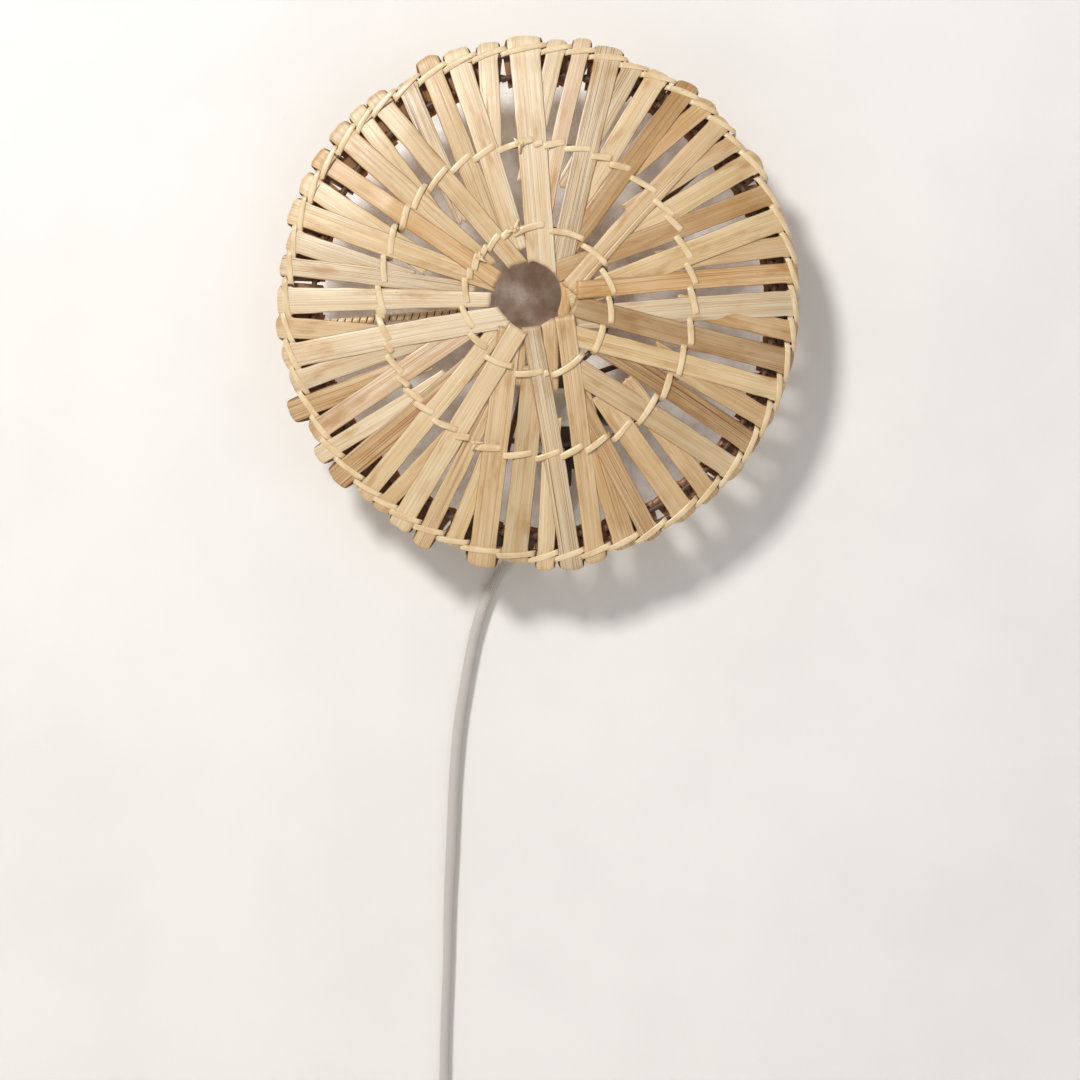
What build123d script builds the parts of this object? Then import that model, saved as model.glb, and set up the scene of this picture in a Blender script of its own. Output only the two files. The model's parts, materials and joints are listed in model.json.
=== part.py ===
from build123d import *
import os
from math import cos, pi, radians, sin, sqrt, tan

os.makedirs("parts", exist_ok=True)

# A plug-in wall lamp: a round shade of flat bamboo splints, folded over a wire rim and lashed to
# wire hoops, held off the wall by stays, with a lampholder behind it and a textile flex.
# Millimetres. The wall is the plane y = 0, the lamp faces -Y, +X is to the right and +Z is up.
# The origin is the centre of the wall plate's back.

# ---------------------------------------------------------------- driving dimensions

SHADE_X, SHADE_Z = -12.0, 72.0     # the shade's centre, seen from the front
RIM_Y = -62.0                      # the rim hoop's distance from the wall
STITCH_RADIUS = 178.0              # where the splints cross the rim
DOME_RADIUS = 1980.0               # the shade's face is a very shallow dome
HOLE_RADIUS = 23.3                 # the round hole left in the middle
HOLE_CENTRE = (-10.5, 7.0)
SPLINT = 0.8                       # a splint's thickness
LAYER = 0.95                       # step between two layers of splints

RIM_HOOP = (179.6, 2.1)            # radius of the ring, radius of the wire
TAIL_HOOP = (166.0, 2.0)
MIDDLE_HOOP = (112.0, 2.0)
INNER_HOOP = (52.5, 2.0)
RIM_CENTRE = (-2.7, 2.3)           # the hand-made hoops are not quite concentric
MIDDLE_CENTRE = (-5.0, 3.6)
INNER_CENTRE = (-4.3, 2.9)

BINDER_WIDTH = 4.4
BINDER = 1.0                       # the cane binder's thickness

SPOKE_RADIUS = 2.0
SPOKE_ANGLES = (41.0, 109.4, 255.7, 326.3)
WRAPPED_SPOKE_ANGLE = 184.6

PLATE_HALF_WIDTH = 13.0
PLATE_THICKNESS = 3.0
SCREW_SPACING = 92.0
SCREW_HOLE_RADIUS = 2.25
CUP_RADIUS = 28.0
CUP_DEPTH = 21.0
WALL = 1.5

HOLDER_Y = -42.0                   # the lampholder's and the bulb's axis, parallel to X
BULB_RADIUS = 14.0
THREAD_RADIUS = 6.9
THREAD_CLEARANCE = 0.06

FLEX = 7.0                         # diameter of the textile flex
FLEX_Y = -4.6                      # its axis where it lies against the wall
SWITCH_Z = -541.0
COIL_X, COIL_Z = -38.0, -640.0     # the flex comes straight down into the coil's left side
COIL_RADIUS = 41.0                 # middle of the coil's turns
COIL_BAND = 21.0
COIL_DEPTH = 15.0

# Each splint: angle where it crosses the rim, its lean away from the radius, its width at the
# rim and at its tip, how far along itself the tip stays from the shade's centre, its layer
# (0 is nearest the wall) and the radius that its fold reaches. Degrees and millimetres.
SPLINTS = (
    (0.5, 3.7, 18.5, 17, 30, 3, 183), (7.5, -2.5, 14.5, 13, 24, 5, 184),
    (13.8, -6.8, 15, 15, 84, 0, 184), (20.2, 1.1, 17.8, 17, 17, 2, 184),
    (26.4, -6.1, 15.5, 15, 1, 1, 183), (34.6, -3.4, 16.5, 15, 58, 0, 187),
    (40.6, -7.6, 13, 13, 86, 0, 183), (45.9, 2.0, 14.5, 14, 20, 4, 186),
    (51.4, -10.4, 13.5, 13, 86, 0, 189), (56.8, -3.4, 15, 15, 41, 2, 191),
    (63.8, -4.5, 15.2, 15, 60, 1, 188), (69.7, -9.2, 14, 14.6, 80, 0, 186),
    (75.5, 1.8, 18.4, 17, 22, 3, 192), (82.0, -4.5, 12, 12, 45, 1, 194),
    (87.7, -10.0, 13, 14, 83, 0, 192), (94.4, 0.2, 22, 20, 20, 4, 195),
    (103.0, -11.0, 14.5, 15, 88, 0, 194), (109.4, -1.9, 16.8, 15, 42, 2, 195),
    (115.9, -4.9, 15.5, 16, 55, 1, 198), (122.3, -9.3, 14, 14, 77, 0, 190),
    (128.8, 1.2, 15, 14, 25, 3, 195), (134.6, -7.6, 13, 13, 60, 1, 196),
    (139.8, -2.3, 16, 15, 45, 2, 197), (146.8, -1.5, 14, 13, 37, 4, 197),
    (153.3, -7.3, 15, 16, 83, 0, 196), (159.2, 0.8, 17.5, 13, 37, 3, 195),
    (165.7, -4.7, 15.5, 15, 95, 1, 190), (171.2, 0.8, 13.5, 12, 50, 2, 192),
    (178.9, 1.1, 19, 11, 38, 3, 192), (185.3, -10.3, 15, 14, 95, 0, 193),
    (191.3, -1.3, 17.6, 17, 29, 3, 191), (197.0, 0.5, 15.2, 14, 60, 1, 190),
    (203.0, -2.5, 15, 16, 91, 0, 198), (208.6, 5.4, 15, 16, 45, 2, 190),
    (213.9, -2.9, 12.5, 14, 85, 0, 196), (219.8, 0.0, 16.5, 16, 45, 1, 196),
    (226.3, 4.6, 14, 13, 28, 2, 189), (231.4, -5.4, 12, 13, 85, 0, 189),
    (236.5, 2.1, 15.6, 15, 24, 4, 191), (242.7, 1.1, 12.3, 12, 60, 1, 195),
    (249.0, -1.0, 12, 13, 85, 0, 185), (255.8, 7.2, 19, 17, 24, 3, 193),
    (263.2, 0.6, 18.5, 17, 45, 2, 186), (270.4, -3.4, 12, 13, 80, 0, 190),
    (275.9, 3.9, 15, 14, 14, 3, 191), (281.7, -4.3, 14.2, 12.5, 9.8, 5, 188),
    (288.9, -1.9, 17, 16, 57, 1, 184), (294.9, 3.1, 14, 13, 62, 2, 185),
    (304.0, 1.3, 17.2, 16, 75, 3, 184), (311.2, -4.2, 14, 15.8, 78, 0, 184),
    (319.0, 9.0, 16, 18, 40, 4, 184.5), (326.3, 0.7, 15.8, 15, 50, 1, 183),
    (333.0, -3.5, 15, 16, 83, 0, 183), (340.0, 5.3, 15.2, 15, 32, 3, 183),
    (347.0, -1.5, 17.8, 16, 20, 1, 183), (354.0, -7.0, 15, 16, 92, 0, 183),
)
TOP_LAYER = 5

# The flex's route, chosen by hand, as (x, y, z): out of the cord grip, behind the shade, past
# its rim, down the wall to the switch, and on to the coil and the plug.
UPPER_ROUTE = (
    (12, -9, -44), (12, -8.8, -60), (7.5, -6.6, -78), (-4, -4.9, -94), (-21, -4.6, -107.5),
    (-41.5, -4.6, -121), (-57, -4.6, -141), (-66, -4.6, -166), (-70.8, -4.6, -196),
    (-75, -4.6, -231), (-78.5, -4.6, -273), (-80.2, -4.6, -319), (-82.6, -4.6, -366),
    (-83.2, -4.6, -414), (-85.6, -4.6, -463), (-86, -4.6, -510),
)
LOWER_ROUTE = ((-86, -4.6, -572), (-86.6, -4.6, -596.5), (-86, -4.6, -621))
TAIL_ROUTE = ((-86, -12.2, -662), (-85.4, -11.1, -685), (-83, -8.6, -708))


# ---------------------------------------------------------------- small helpers

def in_shade(x, y, z):
    """A point given from the shade's centre, in the lamp's frame."""
    return Vector(SHADE_X + x, y, SHADE_Z + z)


def polar(radius, angle, y, centre=(0.0, 0.0)):
    """A point on a circle round the shade, angle in degrees from +X towards +Z."""
    x = centre[0] + radius * cos(radians(angle))
    z = centre[1] + radius * sin(radians(angle))
    return in_shade(x, y, z)


def rod(start, end, radius):
    """A round bar from one point to another."""
    axis = Vector(end) - Vector(start)
    place = Plane(origin=start, z_dir=axis)
    return place * Cylinder(radius, axis.length, align=(Align.CENTER, Align.CENTER, Align.MIN))


def turned_y(face):
    """A body turned about the Y axis from a face drawn with x as its radius."""
    return revolve(face, Axis.Y)


def along(axis_x, axis_z, y):
    """Cylinders drawn along +Z, laid along the wall's normal, pointing away from the wall."""
    return Plane(origin=(axis_x, y, axis_z), x_dir=(1, 0, 0), z_dir=(0, -1, 0))


def bend_radii(points):
    """The largest arc that each corner of a route has room for."""
    radii = []
    corners = zip(points, points[1:], points[2:])
    for before, corner, after in corners:
        run_in = Vector(corner) - Vector(before)
        run_out = Vector(after) - Vector(corner)
        half_turn = radians(run_in.get_angle(run_out)) / 2
        radii.append(0.45 * min(run_in.length, run_out.length) / tan(half_turn))
    return radii


def tube(name, points, diameter):
    """A round cord along straight runs joined by tangent arcs."""
    radii = bend_radii(points)
    path = FilletPolyline(*points, radius=radii)
    start = path @ 0
    section = Plane(origin=start, z_dir=path % 0) * Circle(diameter / 2)
    cord = sweep(section, path=path)
    expected = pi * diameter ** 2 / 4 * path.length
    print(f"{name}: length {path.length:.1f}, smallest bend {min(radii):.1f}, all",
          [round(r) for r in radii], f"volume {cord.volume / expected:.4f} of the section times length")
    return cord


def save(shape, node):
    export_step(shape, f"parts/{node}.step")


def save_group(solids, node):
    save(Compound(children=list(solids)), node)


# ---------------------------------------------------------------- the shade's splints

LEG_BACK_Y = RIM_Y - RIM_HOOP[1] - 0.6                     # back of layer 0 at the rim
DOME_CENTRE_Y = LEG_BACK_Y + sqrt(DOME_RADIUS ** 2 - STITCH_RADIUS ** 2)
TAIL_FRONT_Y = RIM_Y + 2.7
TAIL_INNER_RADIUS = 160.0


def dome_y(radius, lift):
    """The y of a shallow dome at a radius from the shade's axis, lift towards the front."""
    return DOME_CENTRE_Y - sqrt((DOME_RADIUS + lift) ** 2 - radius ** 2)


def dome_arc(radius, lift):
    """The dome's profile from a radius in to the shade's axis."""
    ends = (radius, dome_y(radius, lift)), (0, dome_y(0, lift))
    return ThreePointArc(ends[0], (radius / 2, dome_y(radius / 2, lift)), ends[1])


def splint_profile(layer, fold_radius):
    """Leg, fold and tail of a splint, as a face with x as the radius and y across the shade."""
    back = layer * LAYER
    front = back + SPLINT
    tail_front = TAIL_FRONT_Y + (LAYER if layer >= 2 else 0.0)
    tail_back = tail_front + SPLINT
    fold_start = fold_radius - (tail_back - dome_y(STITCH_RADIUS, front)) / 2
    leg_back_y, leg_front_y = dome_y(fold_start, back), dome_y(fold_start, front)
    inner = (tail_front - leg_back_y) / 2
    outer = (tail_back - leg_front_y) / 2
    outline = (
        dome_arc(fold_start, back),
        Line((0, dome_y(0, back)), (0, dome_y(0, front))),
        dome_arc(fold_start, front),
        ThreePointArc((fold_start, leg_front_y), (fold_start + outer, leg_front_y + outer),
                      (fold_start, tail_back)),
        Line((fold_start, tail_back), (TAIL_INNER_RADIUS, tail_back)),
        Line((TAIL_INNER_RADIUS, tail_back), (TAIL_INNER_RADIUS, tail_front)),
        Line((TAIL_INNER_RADIUS, tail_front), (fold_start, tail_front)),
        ThreePointArc((fold_start, tail_front), (fold_start + inner, tail_front - inner),
                      (fold_start, leg_back_y)),
    )
    return make_face(outline)


def splint_outline(rim_angle, lean, rim_width, tip_width, tip):
    """The splint seen from the front: a straight strip that tapers from the rim to its tip."""
    heading = radians(rim_angle + lean)
    offset = STITCH_RADIUS * sin(radians(lean))
    rim = STITCH_RADIUS * cos(radians(lean))
    beyond = 210.0
    beyond_width = rim_width + (rim_width - tip_width) * (beyond - rim) / (rim - tip)
    corners = []
    for run, width in ((beyond, beyond_width), (tip, tip_width)):
        for side in (-1, 1) if run == beyond else (1, -1):
            across = offset + side * width / 2
            corners.append((run * cos(heading) + across * sin(heading),
                            run * sin(heading) - across * cos(heading)))
    return make_face(Polyline(*corners, close=True))


def splint(rim_angle, lean, rim_width, tip_width, tip, layer, fold_radius):
    strip = extrude(Plane.XZ.offset(70) * splint_outline(rim_angle, lean, rim_width, tip_width, tip),
                    amount=22, both=True)
    hole = Pos(HOLE_CENTRE[0], -70, HOLE_CENTRE[1]) * Rot(90, 0, 0) * Cylinder(HOLE_RADIUS, 44)
    folded = (turned_y(splint_profile(layer, fold_radius)) & strip) - hole
    return Pos(SHADE_X, 0, SHADE_Z) * folded.solids().sort_by(SortBy.VOLUME)[-1]


def make_splints():
    for first in range(0, len(SPLINTS), 2):
        pair = [splint(*row) for row in SPLINTS[first:first + 2]]
        save_group(pair, f"splints_{first + 1:02d}_{first + 2:02d}")


# ---------------------------------------------------------------- hoops, spokes and lashings

MIDDLE_Y = dome_y(MIDDLE_HOOP[0], 0) + 0.6 + MIDDLE_HOOP[1]
INNER_Y = dome_y(INNER_HOOP[0], 0) + 0.6 + INNER_HOOP[1]
SPOKE_INNER = (56.0, -64.0)        # radius and y of a spoke's two ends
SPOKE_OUTER = (163.6, -61.5)


def hoop(size, y, centre=(0.0, 0.0)):
    ring = Rot(90, 0, 0) * Torus(*size)
    return Pos(*in_shade(centre[0], y, centre[1])) * ring


def make_hoops():
    save(hoop(RIM_HOOP, RIM_Y, RIM_CENTRE), "rim_hoop")
    save(hoop(TAIL_HOOP, RIM_Y), "tail_hoop")
    save(hoop(MIDDLE_HOOP, MIDDLE_Y, MIDDLE_CENTRE), "middle_hoop")
    save(hoop(INNER_HOOP, INNER_Y, INNER_CENTRE), "inner_hoop")


def spoke(angle, radius):
    return rod(polar(SPOKE_INNER[0], angle, SPOKE_INNER[1]),
               polar(SPOKE_OUTER[0], angle, SPOKE_OUTER[1]), radius)


def make_spokes():
    save_group([spoke(angle, SPOKE_RADIUS) for angle in SPOKE_ANGLES], "hidden_spokes")
    core_radius = 1.5
    core = spoke(WRAPPED_SPOKE_ANGLE, core_radius)
    sleeve = spoke(WRAPPED_SPOKE_ANGLE, SPOKE_RADIUS) - spoke(WRAPPED_SPOKE_ANGLE, core_radius + 0.02)
    save(core, "wrapped_spoke")
    save(sleeve, "spoke_wrapping")


def binder_ring(radius, centre, front_y):
    """The closed run of binder that crosses over the splints in front of a hoop."""
    half = BINDER_WIDTH / 2
    band = Rot(90, 0, 0) * (Cylinder(radius + half, BINDER) - Cylinder(radius - half, BINDER))
    return Pos(*in_shade(centre[0], front_y - BINDER / 2, centre[1])) * band


def rim_stitch(rim_angle, width, layer):
    """One stitch: a short slanting strip of binder over one splint at the rim."""
    radius = STITCH_RADIUS - 5
    y = dome_y(radius - BINDER_WIDTH, layer * LAYER + SPLINT) - 0.05
    place = Plane(origin=polar(radius, rim_angle, y), z_dir=(0, -1, 0),
                  x_dir=(-sin(radians(rim_angle)), 0, cos(radians(rim_angle))))
    return place * extrude(SlotOverall(width * 0.9, BINDER_WIDTH * 0.8), amount=BINDER)


def make_lashings():
    stitches = [rim_stitch(angle, width, layer) for angle, _, width, _, _, layer, _ in SPLINTS]
    save_group(stitches, "rim_lashing")
    top = TOP_LAYER * LAYER + SPLINT
    middle_front = dome_y(MIDDLE_HOOP[0] - 10, top) - 0.05
    inner_front = dome_y(INNER_HOOP[0] - 10, top) - 0.05
    save(binder_ring(MIDDLE_HOOP[0], MIDDLE_CENTRE, middle_front), "middle_lashing")
    save(binder_ring(INNER_HOOP[0], INNER_CENTRE, inner_front), "inner_lashing")
    tail_back = TAIL_FRONT_Y + LAYER + SPLINT + 0.05
    save(binder_ring(TAIL_HOOP[0], (0.0, 0.0), tail_back + BINDER), "tail_lashing")


# ---------------------------------------------------------------- wall plate, cup and stays

ARM_RADIUS = 5.0
ARM_X = 20.0                       # the lampholder's arm stands here, right of the cup's centre
GRIP_X = 12.0


def make_wall_plate():
    outline = SlotOverall(SCREW_SPACING + 2 * PLATE_HALF_WIDTH, 2 * PLATE_HALF_WIDTH, rotation=90)
    plate = along(0, 0, 0) * extrude(outline, amount=PLATE_THICKNESS)
    for z in (-SCREW_SPACING / 2, SCREW_SPACING / 2):
        hole = Cylinder(SCREW_HOLE_RADIUS, PLATE_THICKNESS, align=(Align.CENTER, Align.CENTER, Align.MIN))
        plate -= along(0, z, 0) * hole
    save(plate, "wall_plate")


def make_wall_cup():
    lower = (Align.CENTER, Align.CENTER, Align.MIN)
    shell = Cylinder(CUP_RADIUS, CUP_DEPTH, align=lower)
    shell = fillet(shell.faces().sort_by(Axis.Z)[-1].edges(), 3)
    shell -= Cylinder(CUP_RADIUS - WALL, CUP_DEPTH - WALL, align=lower)
    cup = along(0, 0, -PLATE_THICKNESS) * shell
    cup -= rod((GRIP_X, -9, -10), (GRIP_X, -9, -40), 4.6)
    save(cup, "wall_cup")


def make_cord_grip():
    top, bottom = -16.0, -44.0
    tapered = Plane(origin=(GRIP_X, -9, bottom), z_dir=(0, 0, 1)) * Cone(
        4.2, 6.0, 19, align=(Align.CENTER, Align.CENTER, Align.MIN))
    neck = rod((GRIP_X, -9, top), (GRIP_X, -9, bottom + 1), 4.5)
    flange = rod((GRIP_X, -9, -18), (GRIP_X, -9, -16), 5.6)
    outside = tapered & Pos(GRIP_X, -9, -60) * Box(40, 11.8, 200)
    cup_body = along(0, 0, -PLATE_THICKNESS) * Cylinder(
        CUP_RADIUS + 0.05, 40, align=(Align.CENTER, Align.CENTER, Align.MIN))
    grip = (outside - cup_body) + neck + flange
    grip -= rod((GRIP_X, -9, top + 2), (GRIP_X, -9, bottom - 1), 2.2)
    save(grip, "cord_grip")


def make_terminal_block():
    block = Pos(-6, -9.5, 4) * Box(18, 9, 22)
    for z in (-3, 4, 11):
        block -= rod((-20, -9.5, z), (20, -9.5, z), 1.7)
        block -= rod((-6, -16, z), (-6, -9.5, z), 1.3)
    save(block, "terminal_block")


def stay(name, start, foot, knee, end):
    path = FilletPolyline(start, foot, knee, end, radius=[8, 8])
    section = Plane(origin=start, z_dir=path % 0) * Circle(2.0)
    save(sweep(section, path=path), name)


def spoke_point(angle, radius):
    share = (radius - SPOKE_INNER[0]) / (SPOKE_OUTER[0] - SPOKE_INNER[0])
    y = SPOKE_INNER[1] + share * (SPOKE_OUTER[1] - SPOKE_INNER[1])
    return polar(radius, angle, y)


def make_stays():
    front = -PLATE_THICKNESS - CUP_DEPTH
    for name, angle, radius, start in (
        ("stay_left", 255.7, 100.0, (-11.0, -22.0)),
        ("stay_right", 326.3, 72.0, (13.0, 20.5)),
        ("stay_top", WRAPPED_SPOKE_ANGLE, 66.0, (-13.0, 20.5)),
    ):
        target = spoke_point(angle, radius)
        reach = SPOKE_RADIUS + 1.2
        end = (target.X, target.Y + reach, target.Z)
        begin = (start[0], front, start[1])
        foot = (start[0], front - 11, start[1])
        knee = (target.X, target.Y + reach + 13, target.Z)
        stay(name, begin, foot, knee, end)


# ---------------------------------------------------------------- lampholder and bulb

HOLDER_FACE_X = 26.0               # the open end of the lampholder
HOLDER_LENGTH = 34.0
HOLDER_RADIUS = 13.5


def on_bulb_axis(x):
    """Bodies drawn along +Z, laid along the bulb's axis pointing at +X from this x."""
    return Plane(origin=(x, HOLDER_Y, 0), z_dir=(1, 0, 0))


def make_lampholder():
    start = (Align.CENTER, Align.CENTER, Align.MIN)
    shell = Cylinder(HOLDER_RADIUS, HOLDER_LENGTH, align=start)
    shell = fillet(shell.faces().sort_by(Axis.Z)[-1].edges(), 3)
    shell -= Cylinder(HOLDER_RADIUS - WALL, HOLDER_LENGTH - 2 * WALL, align=start)
    holder = on_bulb_axis(HOLDER_FACE_X) * shell
    arm_x = HOLDER_FACE_X + HOLDER_LENGTH - 16
    foot = (ARM_X, -PLATE_THICKNESS - CUP_DEPTH, 0)
    foot_up = HOLDER_Y + HOLDER_RADIUS - 0.4
    arm = rod(foot, (ARM_X, foot_up + 0.2, 0), ARM_RADIUS)
    bar = Pos((ARM_X + arm_x) / 2, foot_up + 0.2, 0) * Box(abs(arm_x - ARM_X) + 10, 2.4, 10)
    cradle = on_bulb_axis(arm_x - 5) * Cylinder(HOLDER_RADIUS + 1.6, 10, align=start)
    cradle -= on_bulb_axis(arm_x - 6) * Cylinder(HOLDER_RADIUS + 0.03, 12, align=start)
    bulb_room = on_bulb_axis(-60) * Cylinder(HOLDER_RADIUS + 0.03, 200, align=start)
    save(arm + bar - bulb_room + cradle, "lampholder_arm")
    insert = Cylinder(HOLDER_RADIUS - WALL - 0.02, 29, align=start)
    bore = Cylinder(THREAD_RADIUS + THREAD_CLEARANCE, 25, align=start)
    save(on_bulb_axis(HOLDER_FACE_X + 1) * (insert - bore), "lampholder_insert")
    save(holder, "lampholder_shell")


def make_bulb():
    start = (Align.CENTER, Align.CENTER, Align.MIN)
    cap_length = 23.0
    cap = Cylinder(THREAD_RADIUS, cap_length, align=start)
    cap += Pos(0, 0, cap_length) * Cone(THREAD_RADIUS - 1.5, 2.5, 1.6, align=start)
    save(on_bulb_axis(HOLDER_FACE_X + 0.5) * cap, "bulb_cap")
    tip_x = HOLDER_FACE_X - 34.0
    glass = Pos(tip_x, HOLDER_Y, 0) * Sphere(BULB_RADIUS)
    glass += on_bulb_axis(tip_x) * Cylinder(BULB_RADIUS, 18, align=start)
    glass += on_bulb_axis(tip_x + 18) * Cone(BULB_RADIUS, THREAD_RADIUS, 16.4, align=start)
    save(glass, "bulb_glass")


# ---------------------------------------------------------------- flex, switch, coil and plug

SWITCH_X = -86.0
SWITCH_LENGTH = 62.0
SWITCH_WIDTH = 27.0
BASE_DEPTH = 8.0
COVER_DEPTH = 11.0
SWITCH_BACK = -1.0
ROCKER_LENGTH = 20.0
ROCKER_WIDTH = 12.0
PIN_RADIUS = 1.5
PIN_CLEARANCE = 0.05
ROCKER_Y = SWITCH_BACK - BASE_DEPTH - COVER_DEPTH + 3.5
ROCKER_TILT = 8.0


def switch_block(depth, y_back):
    block = Box(SWITCH_WIDTH, depth, SWITCH_LENGTH)
    block = fillet(block.edges().filter_by(Axis.Y), 9)
    return Pos(SWITCH_X, y_back - depth / 2, SWITCH_Z) * block


def make_switch():
    base = switch_block(BASE_DEPTH, SWITCH_BACK)
    cord_room = rod((SWITCH_X, FLEX_Y, SWITCH_Z - 40), (SWITCH_X, FLEX_Y, SWITCH_Z + 40), FLEX / 2 - 0.4)
    cavity = Pos(SWITCH_X, SWITCH_BACK - BASE_DEPTH, SWITCH_Z) * Box(19, 8, 36)
    save(base - cavity - cord_room, "switch_base")

    cover_back = SWITCH_BACK - BASE_DEPTH
    cover = switch_block(COVER_DEPTH, cover_back)
    front_face = cover.faces().sort_by(Axis.Y)[0]
    cover = fillet(front_face.edges(), 2.5)
    inside = Pos(SWITCH_X, cover_back - COVER_DEPTH / 2 + 1.5, SWITCH_Z) * Box(19, COVER_DEPTH - 3, 42)
    window = Pos(SWITCH_X, cover_back - COVER_DEPTH, SWITCH_Z) * Box(
        ROCKER_WIDTH + 0.8, 12, ROCKER_LENGTH + 1.2)
    cheeks = []
    for side in (-1, 1):
        x = SWITCH_X + side * (ROCKER_WIDTH / 2 + 0.4 + 1.4)
        cheek = Pos(x, cover_back - COVER_DEPTH / 2, SWITCH_Z) * Box(2.8, COVER_DEPTH - 2, 9)
        cheeks.append(cheek)
    cover = cover - inside + cheeks[0] + cheeks[1] - window
    bore = rod((SWITCH_X - 9, ROCKER_Y, SWITCH_Z), (SWITCH_X + 9, ROCKER_Y, SWITCH_Z),
               PIN_RADIUS + PIN_CLEARANCE)
    save(cover - bore, "switch_cover")

    half = ROCKER_LENGTH / 2
    rise = half * tan(radians(ROCKER_TILT))
    side_view = Polyline((0, 2.2), (half - 1.5, 1.6), (half - 0.4, -3.0 - rise), (0, -3.4),
                         (-half + 0.4, -3.0 - rise), (-half + 1.5, 1.6), close=True)
    profile = Plane(origin=(SWITCH_X - ROCKER_WIDTH / 2, ROCKER_Y, SWITCH_Z),
                    x_dir=(0, 0, 1), z_dir=(1, 0, 0)) * make_face(side_view)
    rocker = extrude(profile, amount=ROCKER_WIDTH, dir=(1, 0, 0))
    rocker += rod((SWITCH_X - 8.6, ROCKER_Y, SWITCH_Z), (SWITCH_X + 8.6, ROCKER_Y, SWITCH_Z), PIN_RADIUS)
    pivot = Axis((SWITCH_X, ROCKER_Y, SWITCH_Z), (1, 0, 0))
    save(rocker.rotate(pivot, ROCKER_TILT), "switch_rocker")


COIL_Y = -1.0 - COIL_DEPTH / 2


def make_flex():
    upper = tube("flex above the switch", UPPER_ROUTE, FLEX)
    lower = tube("flex below the switch", LOWER_ROUTE, FLEX)
    tail = tube("flex to the plug", TAIL_ROUTE, FLEX)
    save_group([upper, lower, tail], "flex")


def make_coil():
    section = Plane.XY * Pos(COIL_RADIUS, COIL_Y) * RectangleRounded(COIL_BAND, COIL_DEPTH, 6.5)
    ring = Pos(COIL_X, 0, COIL_Z) * turned_y(section)
    save(ring, "flex_coil")
    band = Box(COIL_BAND + 3, COIL_DEPTH + 1.6, 7) - Box(COIL_BAND + 0.2, COIL_DEPTH + 0.1, 8)
    tie = Pos(COIL_X + COIL_RADIUS, COIL_Y - 0.75, COIL_Z) * band
    tie -= Pos(COIL_X, 0, COIL_Z) * turned_y(
        Plane.XY * Pos(COIL_RADIUS, COIL_Y) * RectangleRounded(COIL_BAND + 0.1, COIL_DEPTH + 0.1, 6.5))
    save(tie, "coil_tie")


PLUG_X, PLUG_Y, PLUG_TOP = -83.0, -8.6, -708.0
SLEEVE_LENGTH, SLEEVE_ROOT = 24.0, 5.0        # outside the plug, and inside it
SLEEVE_WIDE, SLEEVE_NARROW = 6.2, 4.9         # radii
SLEEVE_RINGS = (8.0, 12.0, 16.0, 20.0)        # grooves, from the plug's top
RING_WIDTH, RING_DEPTH = 1.3, 0.5


def make_strain_relief():
    """The tapered sleeve round the flex where it enters the plug, with flexing grooves."""
    lower = (Align.CENTER, Align.CENTER, Align.MIN)
    end = Vector(TAIL_ROUTE[-1])
    heading = (Vector(TAIL_ROUTE[-2]) - end).normalized()
    foot = Plane(origin=end - heading * SLEEVE_ROOT, z_dir=heading)
    sleeve = foot * Cone(SLEEVE_WIDE, SLEEVE_NARROW, SLEEVE_ROOT + SLEEVE_LENGTH, align=lower)
    for place in SLEEVE_RINGS:
        share = (SLEEVE_ROOT + place) / (SLEEVE_ROOT + SLEEVE_LENGTH)
        radius = SLEEVE_WIDE + (SLEEVE_NARROW - SLEEVE_WIDE) * share - RING_DEPTH
        level = Plane(origin=end + heading * place, z_dir=heading)
        sleeve -= level * (Cylinder(SLEEVE_WIDE + 1, RING_WIDTH) - Cylinder(radius, RING_WIDTH))
    return sleeve - tube("bore of the plug's sleeve", TAIL_ROUTE, FLEX)


def make_plug():
    body = Pos(PLUG_X, PLUG_Y, PLUG_TOP - 14) * Box(30, 13.6, 20)
    body = fillet(body.edges().filter_by(Axis.Y), 5)
    body = fillet(body.faces().sort_by(Axis.Y)[0].edges(), 2)
    collar = rod((PLUG_X, PLUG_Y, PLUG_TOP), (PLUG_X, PLUG_Y, PLUG_TOP - 6), 5.4)
    body += collar
    body += make_strain_relief()
    sockets = []
    pins = []
    for side in (-1, 1):
        x = PLUG_X + side * 9.5
        top, bottom = PLUG_TOP - 16, PLUG_TOP - 43
        sockets.append(rod((x, PLUG_Y, top), (x, PLUG_Y, bottom), 2.02))
        pin = rod((x, PLUG_Y, top), (x, PLUG_Y, bottom), 2.0)
        pins.append(chamfer(pin.edges().sort_by(Axis.Z)[0], 0.7))
    save(body - sockets[0] - sockets[1], "plug_body")
    save_group(pins, "plug_pins")


make_splints()
make_hoops()
make_spokes()
make_lashings()
make_wall_plate()
make_wall_cup()
make_cord_grip()
make_terminal_block()
make_stays()
make_lampholder()
make_bulb()
make_switch()
make_flex()
make_coil()
make_plug()
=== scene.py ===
import json
from collections import namedtuple
from math import cos, degrees, pi, radians, sin, sqrt

import bpy
import numpy as np
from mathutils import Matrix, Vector, noise


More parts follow.
